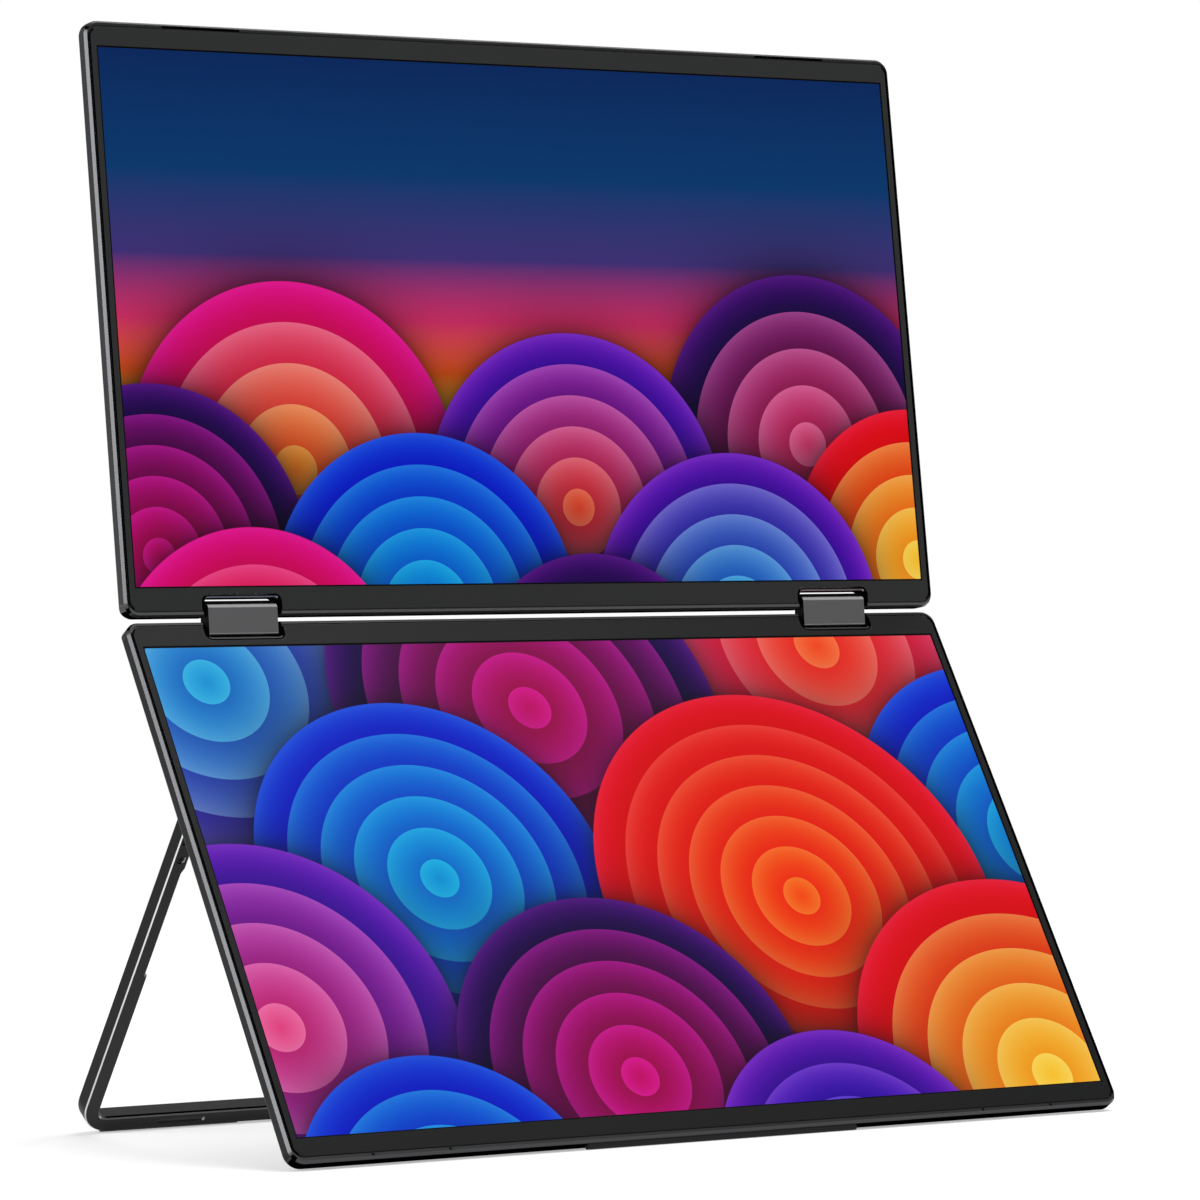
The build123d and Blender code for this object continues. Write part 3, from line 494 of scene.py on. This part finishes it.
# centre, radius, whole rings round the core, core colour, rim colour, from the rearmost disc on
pictures = {
    "upper": [
        ((-0.30, -0.16), 0.20, 4, amber, magenta),
        ((0.36, -0.13), 0.19, 4, pink, purple),
        ((0.05, -0.20), 0.19, 5, orange, violet),
        ((-0.47, -0.25), 0.18, 5, magenta, purple),
        ((0.50, -0.26), 0.17, 4, yellow, red),
        ((-0.15, -0.31), 0.19, 5, cyan, blue),
        ((0.25, -0.33), 0.19, 5, cyan, violet),
        ((-0.36, -0.40), 0.18, 4, orange, magenta),
        ((0.06, -0.42), 0.17, 4, blue, purple),
    ],
    "lower": [
        ((0.34, 0.27), 0.27, 5, orange, magenta),
        ((-0.44, 0.24), 0.25, 5, cyan, violet),
        ((-0.06, 0.20), 0.24, 5, magenta, purple),
        ((0.54, 0.02), 0.22, 5, cyan, blue),
        ((-0.24, 0.00), 0.21, 5, cyan, blue),
        ((0.20, -0.04), 0.25, 6, orange, red),
        ((-0.48, -0.16), 0.21, 4, pink, violet),
        ((-0.08, -0.24), 0.21, 5, magenta, purple),
        ((0.44, -0.27), 0.24, 5, yellow, red),
        ((0.16, -0.38), 0.18, 4, blue, violet),
        ((-0.34, -0.38), 0.18, 4, cyan, blue),
    ],
}
# The ramp's stops from the bottom of the lit area, at 0, to its top, at 1
backs = {
    "upper": [(0.0, purple), (0.3, yellow), (0.4, orange), (0.5, rose), (0.62, dusk), (0.78, teal),
              (1.0, navy)],
    "lower": [(0.0, purple), (0.5, wine), (1.0, plum)],
}


def lit_area(tree, split):
    """Emission strength: on inside the lit rectangle and off in the black margin round it."""
    maths = partial(add_maths, tree)
    across = maths("LESS_THAN", maths("ABSOLUTE", split.outputs["X"]), 0.5)
    along = maths("LESS_THAN", maths("ABSOLUTE", split.outputs["Y"]), HALF_TALL)
    return maths("MULTIPLY", maths("MULTIPLY", across, along), SCREEN_STRENGTH)


def make_screen_material(half):
    """The glowing picture of one half under black anti-glare film."""
    material, tree, shader = new_material(half + "_picture")
    local = plane_coordinates(tree, half)
    scaled = add_node(tree, "ShaderNodeMapping", vector_type="TEXTURE")
    scaled.inputs["Location"].default_value = (0, SCREEN_SHIFT[half], 0)
    scaled.inputs["Scale"].default_value = (SCREEN_WIDTH, SCREEN_WIDTH, 1)
    tree.links.new(local, scaled.inputs["Vector"])
    flat = add_node(tree, "ShaderNodeVectorMath", operation="MULTIPLY")
    flat.inputs[1].default_value = (1, 1, 0)
    tree.links.new(scaled.outputs["Vector"], flat.inputs[0])
    split = add_node(tree, "ShaderNodeSeparateXYZ")
    tree.links.new(flat.outputs["Vector"], split.inputs["Vector"])
    climb = add_node(tree, "ShaderNodeMapRange")
    climb.inputs["From Min"].default_value = -HALF_TALL
    climb.inputs["From Max"].default_value = HALF_TALL
    tree.links.new(split.outputs["Y"], climb.inputs["Value"])
    ramp = add_node(tree, "ShaderNodeValToRGB")
    points = ramp.color_ramp.elements
    while len(points) < len(backs[half]):
        points.new(0.5)
    for point, (position, colour) in zip(points, backs[half]):
        point.position = position
        point.color = colour
    tree.links.new(climb.outputs["Result"], ramp.inputs["Fac"])
    picture = ramp.outputs["Color"]
    for centre, radius, rings, core, rim in pictures[half]:
        disc = add_node(tree, "ShaderNodeGroup")
        disc.node_tree = disc_group
        disc.inputs["Centre"].default_value = (*centre, 0)
        disc.inputs["Radius"].default_value = radius
        disc.inputs["Ring"].default_value = radius / (rings + CORE_RINGS)
        disc.inputs["Core Colour"].default_value = core
        disc.inputs["Rim Colour"].default_value = rim
        tree.links.new(picture, disc.inputs["Under"])
        tree.links.new(flat.outputs["Vector"], disc.inputs["Place"])
        picture = disc.outputs["Colour"]
    tree.links.new(picture, shader.inputs["Emission Color"])
    tree.links.new(lit_area(tree, split), shader.inputs["Emission Strength"])
    shader.inputs["Base Color"].default_value = (0.002, 0.002, 0.003, 1)
    shader.inputs["Roughness"].default_value = 0.42
    shader.inputs["Specular IOR Level"].default_value = 0.04
    return material


for half in ("lower", "upper"):
    cell = frame["nodes"][half + "_display_cell"]
    cell.data.materials.clear()
    cell.data.materials.append(make_screen_material(half))
    print(half, "picture:", len(pictures[half]), "discs")

# %% [markdown]
# The CAD solids have true shapes but razor edges, and a real edge always catches a thin line of
# light. So each shell that is seen is copied, its loose triangles are merged into clean faces, and
# a narrow Bevel rounds its edges. Weighted normals keep the flats flat beside the rounding. The
# finished copy then stands for its solid. Some of its faces may take a finish of their own.

# %% Write the edge rounder
WELD_DISTANCE = 0.000002
FLAT_DEGREES = 0.4
EDGE_DEGREES = 32
EDGE_WIDTH = 0.00012


def bake(piece):
    """Turns a piece and its modifiers into a plain mesh."""
    evaluated = piece.evaluated_get(bpy.context.evaluated_depsgraph_get())
    mesh = bpy.data.meshes.new_from_object(evaluated)
    piece.modifiers.clear()
    piece.data = mesh


def finely_edged(node, body, material, width=EDGE_WIDTH, plane=None, marks=(), border=0.0, cuts=()):
    """A copy of a CAD node with its edges rounded by width, riding on body in its place.

    marks lists (material, test) pairs: a face whose middle and normal on the plane pass the test
    takes that material. border cuts a strip of that width round the front and marks only that.
    cuts lists (axis, distance) pairs where faces are split, so that their parts can be marked apart.
    """
    source = frame["nodes"][node]
    mesh = source.data.copy()
    mesh.name = node + "_shell"
    mesh.materials.clear()
    for finish in [material] + [finish for finish, test in marks]:
        mesh.materials.append(finish)
    shape = bmesh.new()
    shape.from_mesh(mesh)
    bmesh.ops.remove_doubles(shape, verts=shape.verts, dist=WELD_DISTANCE)
    bmesh.ops.dissolve_limit(shape, angle_limit=math.radians(FLAT_DEGREES), verts=shape.verts,
                             edges=shape.edges)
    for axis, distance in cuts:
        across = Vector([float(name == axis) for name in "xyz"])
        place = plane_point(plane, *(across * distance))
        facing = plane_point(plane, *across) - planes[plane][0]
        everything = [*shape.verts, *shape.edges, *shape.faces]
        bmesh.ops.bisect_plane(shape, geom=everything, plane_co=place, plane_no=facing)
    shape.normal_update()
    for face in shape.faces:
        face.smooth = True
        face.material_index = 0
    marked = list(shape.faces)
    if border:
        front = [face for face in shape.faces if faces_front(plane, face.normal)]
        strip = bmesh.ops.inset_region(shape, faces=front, thickness=border, use_even_offset=True)
        marked = strip["faces"]
    for face in marked:
        for index, (finish, test) in enumerate(marks):
            if test(*on_plane(plane, face.calc_center_median(), face.normal)):
                face.material_index = index + 1
                break
    shape.to_mesh(mesh)
    shape.free()
    piece = bpy.data.objects.new(node + "_shell", mesh)
    bpy.context.scene.collection.objects.link(piece)
    bevel = piece.modifiers.new("rounding", "BEVEL")
    bevel.limit_method = "ANGLE"
    bevel.angle_limit = math.radians(EDGE_DEGREES)
    bevel.width = width
    bevel.segments = 2
    weighted = piece.modifiers.new("flat_faces", "WEIGHTED_NORMAL")
    weighted.keep_sharp = True
    bake(piece)
    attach(piece, body)
    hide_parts(node)
    return piece


print("the rounder works on edges sharper than", EDGE_DEGREES, "degrees")

# %% [markdown]
# Some faces take painted light: lighter metal as a painted highlight on rim chamfers and notch ends,
# and black as painted shade in the notches, seams and recesses.
# So faces are told apart by small tests. Each gets a face's middle and normal as the leaning plane
# counts them: x to the right, y up along the plane and z out of its front. A normal's part along
# an axis is 1 where the face looks straight that way and 0 where it looks square to it.

# %% Tell the faces of a half apart
# Sizes of a display half in metres, from its middle or from its front
HALF_WIDTH = 0.177
HALF_HEIGHT = 0.107095
RIM_SIDE = 0.001
RIM_END = 0.00175
RIM_CHAMFER = 0.0013
TRAY_DEPTH = 0.005
BEZEL_DEPTH = 0.0003
SIDE_CUT = 0.1753
WINDOW_X = 0.1733
HINGE_ZONE = -0.1
# How far a face may lie from its place
SLACK = 0.00001


def on_front(middle, normal):
    """A flat face at the very front of a half."""
    return normal.z > 0.99 and middle.z > -5 * SLACK


def in_tray(middle, normal):
    """Inside the rim or a hinge notch, which is painted black as the shade in the seam and notch."""
    across = abs(middle.x) < HALF_WIDTH - RIM_SIDE + SLACK
    along = abs(middle.y) < HALF_HEIGHT - RIM_END + SLACK
    return across and along and -TRAY_DEPTH - SLACK < middle.z < -2 * SLACK


def on_end_ledge(middle, normal):
    """The ledge under the bezel along the half's top and bottom, which shows in the seam."""
    return normal.z > 0.9 and abs(middle.z + BEZEL_DEPTH) < 2 * SLACK and abs(middle.x) < SIDE_CUT


def beside_rim(middle, normal):
    """The strip of a bezel sheet beside the left or right rim, painted black as the rim's shadow."""
    return abs(middle.x) > WINDOW_X


def on_hinge_rim(middle, normal):
    """The flat front of the rim along the upper half's bottom edge."""
    return on_front(middle, normal) and abs(middle.x) < SIDE_CUT and middle.y < HINGE_ZONE


def on_rim_chamfer(middle, normal):
    """One of the slanted faces between the rim's front and its outer walls."""
    return middle.z > -RIM_CHAMFER and 0.4 < normal.z < 0.65


def on_top_chamfer(middle, normal):
    """The slanted face along the half's top edge."""
    return on_rim_chamfer(middle, normal) and normal.y > 0.5


def on_bottom_wall(middle, normal):
    """The wall along the half's bottom edge, and the rounding behind it."""
    return normal.y < -0.6 and abs(normal.z) < 0.8


def on_side_wall(middle, normal):
    """The walls at the half's left and right."""
    return abs(normal.x) > 0.9 and abs(middle.x) > HALF_WIDTH - RIM_SIDE / 2


print("a rim is", RIM_SIDE * 1000, "mm wide at the sides and", RIM_END * 1000, "mm at the ends")

# %% [markdown]
# At each hinge both halves have a notch, where the cap goes in. The narrow slant along its inner
# end takes a painted highlight, but the one that looks to the left is painted black as shade, and so
# is the flat rim at the notch's sides. On the upper half the rim is painted black as shade along the inner
# end too.

# %% Tell the faces of the hinge notches apart
HINGE_X = 0.1296
NOTCH_HALF = 0.01505
NOTCH_DEPTH = 0.00675
NOTCH_RIM = 0.0009
NOTCH_CHAMFER = 0.0006


def on_notch_rim(middle, normal):
    """The flat front of the rim round a hinge notch."""
    across = abs(abs(middle.x) - HINGE_X) < NOTCH_HALF + NOTCH_RIM
    along = abs(middle.y) > HALF_HEIGHT - NOTCH_DEPTH - NOTCH_RIM
    return on_front(middle, normal) and across and along


def beside_notch(middle, normal):
    """The part of that rim to the left and right of the notch."""
    return on_notch_rim(middle, normal) and abs(abs(middle.x) - HINGE_X) > NOTCH_HALF


def on_notch_slant(middle, normal):
    """One of the slanted faces round a hinge notch."""
    return middle.z > -NOTCH_CHAMFER and 0.65 < normal.z < 0.8


def on_notch_end(middle, normal):
    """The slanted face along the inner end of a hinge notch."""
    return on_notch_slant(middle, normal) and abs(normal.x) < 0.45


def on_notch_side(middle, normal):
    """The slanted face of a hinge notch that looks to the left."""
    return on_notch_slant(middle, normal) and normal.x < -0.45


print("a notch is", round(2 * NOTCH_HALF * 1000, 2), "mm wide and", NOTCH_DEPTH * 1000, "mm deep")

# %% [markdown]
# A hinge cap is a flat grey plate whose top and foot roll back, with painted highlights on those
# roundings, and whose ends are painted black as shade. With its tests the lists are complete. A face
# takes the finish of the first test in a list that it passes.

# %% Tell the faces of the caps apart and list the marks
def on_cap_top(middle, normal):
    """The rounding along a hinge cap's top."""
    return normal.y > 0.1 and normal.z > 0.05


def on_cap_foot(middle, normal):
    """The rounding along a hinge cap's bottom."""
    return normal.y < -0.1 and normal.z > 0.05


def on_cap_end(middle, normal):
    """A hinge cap's flat left or right end."""
    return abs(normal.x) > 0.9


cover_metal = finishes["cover_metal"]
# Painted light on a cover: highlights on the notch ends and rim chamfers, and black as shade on the notch's
# left slants and sides, inside the tray and on the bottom wall.
cover_marks = [(notch_end_highlight, on_notch_end), (inner_black, on_notch_side), (inner_black, beside_notch),
               (cover_metal, on_end_ledge), (cover_metal, on_top_chamfer), (inner_black, in_tray),
               (rim_chamfer_highlight, on_rim_chamfer), (inner_black, on_bottom_wall)]
# The lower half's side walls are painted darker as shade; on the upper half the notch's rim is painted
# black as shade and the hinge rim takes a painted highlight.
half_marks = {"lower": [(lower_side_shade, on_side_wall)],
              "upper": [(inner_black, on_notch_rim), (hinge_rim_highlight, on_hinge_rim)]}
# The bezel's strip beside the left and right rims is painted black as the rim's shadow.
bezel_marks = [(inner_black, beside_rim)]
# A cap's ends are painted black as shade and its roundings take painted highlights.
cap_marks = [(finishes["hinge_black"], on_cap_end), (cap_top_highlight, on_cap_top), (cap_foot_highlight, on_cap_foot)]
print("kinds of marked faces:", len(cover_marks), "on a cover,", len(cap_marks), "on a cap")

# %% [markdown]
# Now the halves and the hinges get their shells. A cover is cut across where its rim turns the
# corner and at both sides of each notch, so that the parts of one flat rim can differ. Those last
# cuts lie a hair off the notch's own walls, because a cut in the plane of a wall leaves slivers.

# %% Round the halves and the hinges
FINE_EDGE_WIDTH = 0.00005
SHADOW_STRIP = 0.0006
HAIR = 0.00005
cover_cuts = [("x", -SIDE_CUT), ("x", SIDE_CUT)]
for side in (-1, 1):
    for end in (-1, 1):
        for reach in (NOTCH_HALF - HAIR, NOTCH_HALF + NOTCH_RIM + HAIR):
            cover_cuts.append(("x", side * HINGE_X + end * reach))

shells = {}
for half, bezel in (("lower", lower_bezel_shade), ("upper", finishes["bezel_sheet"])):
    body = half + "_display"
    shells[half + "_cover"] = finely_edged(half + "_back_cover", body, cover_metal,
                                           plane=half, marks=cover_marks + half_marks[half],
                                           cuts=cover_cuts)
    shells[half + "_bezel"] = finely_edged(half + "_front_bezel", body, bezel,
                                           width=FINE_EDGE_WIDTH, plane=half, marks=bezel_marks,
                                           border=SHADOW_STRIP)
for side in ("left", "right"):
    shells[side + "_cap"] = finely_edged(side + "_hinge_cap", "hinge_links",
                                         finishes["hinge_metal"], width=FINE_EDGE_WIDTH,
                                         plane="link", marks=cap_marks)
    shells[side + "_link"] = finely_edged(side + "_hinge_link", "hinge_links",
                                          finishes["hinge_black"])
print("display and hinge shells:", len(shells))

# %% [markdown]
# The kickstand is charcoal too, but the narrow chamfers round its outline are cut bright, and the
# walls that face away from the lamps are painted darker as shade. The chamfer over the bar takes a
# painted highlight with a painted black shadow line behind it. Its finger slots have a floor painted
# lighter against their shade and its screw recesses are painted black inside as shade. In both, the
# bit of wall that faces the left has a painted highlight.

# %% Tell the faces of the kickstand apart
SLOT_X = 0.13355
SLOT_Y = -0.130925
SLOT_HALF = 0.0098
SLOT_TALL = 0.0011
SCREW_X = 0.1725
SCREW_Y = -0.01005
SCREW_HALF = 0.0019
STAND_FRONT = 0.00324
LEG_X = 0.1625
BAR_Y = -0.12
SHADOW_LINE_Z = 0.0018


def in_slot(middle, normal):
    """In a finger slot of the bar's front."""
    across = abs(abs(middle.x) - SLOT_X) < SLOT_HALF
    return across and abs(middle.y - SLOT_Y) < SLOT_TALL and 0 < middle.z < STAND_FRONT


def on_slot_end(middle, normal):
    """The rounded end of a finger slot that faces the left."""
    return in_slot(middle, normal) and normal.x < -0.4


def in_screw_recess(middle, normal):
    """In the recess of a screw of the legs."""
    near = abs(abs(middle.x) - SCREW_X) < SCREW_HALF and abs(middle.y - SCREW_Y) < SCREW_HALF
    return near and 0 < middle.z < STAND_FRONT


def on_screw_wall(middle, normal):
    """The part of a screw recess's wall that faces the left."""
    return in_screw_recess(middle, normal) and normal.x < -0.5


def on_bar_ledge(middle, normal):
    """The chamfer between the bar's front and the wall over it."""
    return normal.y > 0.6 and normal.z > 0.6 and middle.y < BAR_Y


def on_stand_chamfer(middle, normal):
    """The other chamfers round the U's outline, apart from its rounded tops."""
    return middle.y < -10 * SLACK and 0.6 < abs(normal.z) < 0.8


def on_leg_wall(middle, normal):
    """The outer walls of the legs and of the corners under them."""
    return abs(normal.z) < 0.1 and abs(middle.x) > LEG_X


def on_bar_top(middle, normal):
    """The wall of the bar that looks up to the hinge."""
    return normal.y > 0.5 and abs(normal.z) < 0.1 and middle.y < BAR_Y


def in_bar_shadow_line(middle, normal):
    """A thin strip of that wall just behind its bright edge, painted black as a shadow line."""
    return on_bar_top(middle, normal) and middle.z > SHADOW_LINE_Z


# Painted light on the kickstand: highlights on the left-facing ends of slots and screw recesses and on the
# bar's ledge, a lighter slot floor against its shade, black as shade in the screw recesses and a line on
# the bar, and darker walls as shade.
stand_marks = [(recess_end_highlight, on_slot_end), (slot_floor, in_slot), (recess_end_highlight, on_screw_wall),
               (inner_black, in_screw_recess), (bar_ledge_highlight, on_bar_ledge), (bright_cut, on_stand_chamfer),
               (stand_side_shade, on_leg_wall), (inner_black, in_bar_shadow_line), (stand_side_shade, on_bar_top)]
print("kinds of marked faces on the kickstand:", len(stand_marks))

# %% [markdown]
# The kickstand, its rubber pads, the foot strip, the rear housing and the three buttons get their
# shells last. Rubber has the roundest edges of them.

# %% Round the kickstand and the small outer pieces
STAND_EDGE_WIDTH = 0.00008
RUBBER_EDGE_WIDTH = 0.0002
shells["stand"] = finely_edged("stand_frame", "stand", finishes["stand_metal"],
                               width=STAND_EDGE_WIDTH, plane="stand", marks=stand_marks,
                               cuts=[("z", SHADOW_LINE_Z)])
shells["pads"] = finely_edged("stand_pads", "stand", finishes["rubber"],
                              width=RUBBER_EDGE_WIDTH)
shells["strip"] = finely_edged("front_foot_strip", "lower_display", finishes["rubber"],
                               width=RUBBER_EDGE_WIDTH)
shells["housing"] = finely_edged("rear_housing", "lower_display",
                                 finishes["housing_plastic"])
for name in ("power_button", "plus_button", "minus_button"):
    shells[name] = finely_edged(name, name, finishes["button_plastic"])
for name, piece in shells.items():
    print(name, len(piece.data.polygons), "faces")

# %% [markdown]
# The screws are all the same small part, set again and again, so a Geometry Nodes group makes one
# from its sizes and puts a copy on every point of a mesh. Each copy is spun by a random angle with
# a fixed seed, because nobody lines up the crosses of real screws. The weld clears the slivers
# that cutting the cross leaves.

# %% Make the screw group
HEAD_SIDES = 40
SHANK_SIDES = 20
CROSS_LENGTH = 1.15
SCREW_WELD = 0.000005


def make_screw_group():
    """Cross-head screws on the points that come in, heads out along the turned Z."""
    group = bpy.data.node_groups.new("screw_set", "GeometryNodeTree")
    sockets = group.interface
    sockets.new_socket("Geometry", in_out="INPUT", socket_type="NodeSocketGeometry")
    for name in ("Head Radius", "Head Height", "Rounding", "Shank Radius", "Shank Length", "Cross Width"):
        sockets.new_socket(name, in_out="INPUT", socket_type="NodeSocketFloat")
    sockets.new_socket("Turn", in_out="INPUT", socket_type="NodeSocketVector")
    sockets.new_socket("Seed", in_out="INPUT", socket_type="NodeSocketInt")
    sockets.new_socket("Material", in_out="INPUT", socket_type="NodeSocketMaterial")
    sockets.new_socket("Geometry", in_out="OUTPUT", socket_type="NodeSocketGeometry")
    start = add_node(group, "NodeGroupInput")
    end = add_node(group, "NodeGroupOutput")

    def vector(x=None, y=None, z=None):
        """A vector from up to three sockets."""
        node = add_node(group, "ShaderNodeCombineXYZ")
        for index, value in enumerate((x, y, z)):
            if value is not None:
                group.links.new(value, node.inputs[index])
        return node.outputs["Vector"]

    def moved(mesh, translation):
        """The mesh moved by a vector socket."""
        node = add_node(group, "GeometryNodeTransform")
        group.links.new(mesh, node.inputs["Geometry"])
        group.links.new(translation, node.inputs["Translation"])
        return node.outputs["Geometry"]

    maths = partial(add_maths, group)
    radius = start.outputs["Head Radius"]
    height = start.outputs["Head Height"]
    rounding = start.outputs["Rounding"]
    drum = add_node(group, "GeometryNodeMeshCylinder")
    drum.inputs["Vertices"].default_value = HEAD_SIDES
    body = maths("SUBTRACT", height, rounding)
    group.links.new(radius, drum.inputs["Radius"])
    group.links.new(body, drum.inputs["Depth"])
    rise = add_node(group, "GeometryNodeExtrudeMesh", mode="FACES")
    group.links.new(drum.outputs["Mesh"], rise.inputs["Mesh"])
    group.links.new(drum.outputs["Top"], rise.inputs["Selection"])
    group.links.new(rounding, rise.inputs["Offset Scale"])
    slope = add_node(group, "GeometryNodeScaleElements")
    group.links.new(rise.outputs["Mesh"], slope.inputs["Geometry"])
    group.links.new(rise.outputs["Top"], slope.inputs["Selection"])
    narrow = maths("DIVIDE", maths("SUBTRACT", radius, rounding), radius)
    group.links.new(narrow, slope.inputs["Scale"])
    head = moved(slope.outputs["Geometry"], vector(z=maths("MULTIPLY", body, 0.5)))

    cutter = add_node(group, "GeometryNodeMeshBoolean", operation="DIFFERENCE")
    group.links.new(head, cutter.inputs["Mesh 1"])
    length = maths("MULTIPLY", radius, CROSS_LENGTH)
    width = start.outputs["Cross Width"]
    for size in (vector(length, width, height), vector(width, length, height)):
        bar = add_node(group, "GeometryNodeMeshCube")
        group.links.new(size, bar.inputs["Size"])
        group.links.new(moved(bar.outputs["Mesh"], vector(z=height)), cutter.inputs["Mesh 2"])

    stem = add_node(group, "GeometryNodeMeshCylinder")
    stem.inputs["Vertices"].default_value = SHANK_SIDES
    group.links.new(start.outputs["Shank Radius"], stem.inputs["Radius"])
    group.links.new(start.outputs["Shank Length"], stem.inputs["Depth"])
    shank = moved(stem.outputs["Mesh"], vector(z=maths("MULTIPLY", start.outputs["Shank Length"], -0.5)))
    whole = add_node(group, "GeometryNodeJoinGeometry")
    weld = add_node(group, "GeometryNodeMergeByDistance")
    weld.inputs["Distance"].default_value = SCREW_WELD
    group.links.new(cutter.outputs["Mesh"], weld.inputs["Geometry"])
    group.links.new(weld.outputs["Geometry"], whole.inputs["Geometry"])
    group.links.new(shank, whole.inputs["Geometry"])

    turn = add_node(group, "FunctionNodeEulerToRotation")
    group.links.new(start.outputs["Turn"], turn.inputs["Euler"])
    spread = add_node(group, "GeometryNodeInstanceOnPoints")
    group.links.new(start.outputs["Geometry"], spread.inputs["Points"])
    group.links.new(whole.outputs["Geometry"], spread.inputs["Instance"])
    group.links.new(turn.outputs["Rotation"], spread.inputs["Rotation"])
    angle = add_node(group, "FunctionNodeRandomValue", data_type="FLOAT")
    high = [s for s in angle.inputs if s.name == "Max" and s.type == "VALUE"][0]
    high.default_value = math.pi / 2
    group.links.new(start.outputs["Seed"], angle.inputs["Seed"])
    value = [s for s in angle.outputs if s.type == "VALUE"][0]
    spin = add_node(group, "GeometryNodeRotateInstances")
    group.links.new(spread.outputs["Instances"], spin.inputs["Instances"])
    group.links.new(vector(z=value), spin.inputs["Rotation"])
    real = add_node(group, "GeometryNodeRealizeInstances")
    group.links.new(spin.outputs["Instances"], real.inputs["Geometry"])
    finish = add_node(group, "GeometryNodeSetMaterial")
    group.links.new(real.outputs["Geometry"], finish.inputs["Geometry"])
    group.links.new(start.outputs["Material"], finish.inputs["Material"])
    group.links.new(finish.outputs["Geometry"], end.inputs["Geometry"])
    return group


screw_group = make_screw_group()
print("screw group nodes:", len(screw_group.nodes))

# %% [markdown]
# Three sets of screws are seen: the ones in the rear housing, in the stand's brackets and in the
# fronts of its legs. Each set lies on one leaning plane, so it needs its points, its turn and the
# length of its shanks.

# %% Set the screws
# node, body, plane, points in millimetres on the plane, faces the back, shank length in metres
screw_sets = [
    ("rear_housing_screws", "lower_display", "lower",
     [(x, y, -12.1) for x in (-140, 0, 140) for y in (-88.5, 9.0)], True, 0.0072),
    ("stand_bracket_screws", "lower_display", "lower",
     [(x, y, -7.0) for x in (-158.3, 158.3) for y in (23.25, 31.25)], True, 0.0016),
    ("stand_leaf_screws", "stand", "stand",
     [(x, -10.05, 2.35) for x in (-172.5, 172.5)], False, 0.0024),
]
# Sizes of a screw in metres
HEAD_SIZES = {"Head Radius": 0.0017, "Head Height": 0.0006, "Rounding": 0.00014, "Shank Radius": 0.0008,
              "Cross Width": 0.00036}
SPIN_SEED = 7


def set_screws(node, body, plane, points, faces_back, length):
    """One set of screws in the place of its CAD node."""
    mesh = bpy.data.meshes.new(node + "_made")
    places = [plane_point(plane, x / 1000, y / 1000, z / 1000) for x, y, z in points]
    mesh.from_pydata(places, [], [])
    piece = bpy.data.objects.new(node + "_made", mesh)
    bpy.context.scene.collection.objects.link(piece)
    maker = piece.modifiers.new("screws", "NODES")
    maker.node_group = screw_group
    turn = planes[plane][1] + (math.pi if faces_back else 0)
    values = {**HEAD_SIZES, "Shank Length": length, "Turn": (turn, 0, 0), "Seed": SPIN_SEED,
              "Material": black_oxide}
    for item in screw_group.interface.items_tree:
        if item.in_out == "INPUT" and item.name in values:
            maker[item.identifier] = values[item.name]
    bake(piece)
    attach(piece, body)
    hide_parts(node)
    return piece


made_screws = [set_screws(*screw_set) for screw_set in screw_sets]
print("screw faces:", [len(piece.data.polygons) for piece in made_screws])

# %% [markdown]
# Everything else keeps its CAD solid. The record says which finish each node is made in, so the
# materials are handed out from there.

# %% Finish the pieces that keep their solids
covered = {piece.name.removesuffix("_shell") for piece in shells.values()}
covered |= {node for node, *rest in screw_sets}
for subpart in frame["record"]["subparts"]:
    node = subpart["node"]
    slot = subpart["material_slot"]
    if slot in finishes and node not in covered:
        solid = frame["nodes"][node]
        solid.data.materials.clear()
        solid.data.materials.append(finishes[slot])
print("pieces made here:", len(covered))
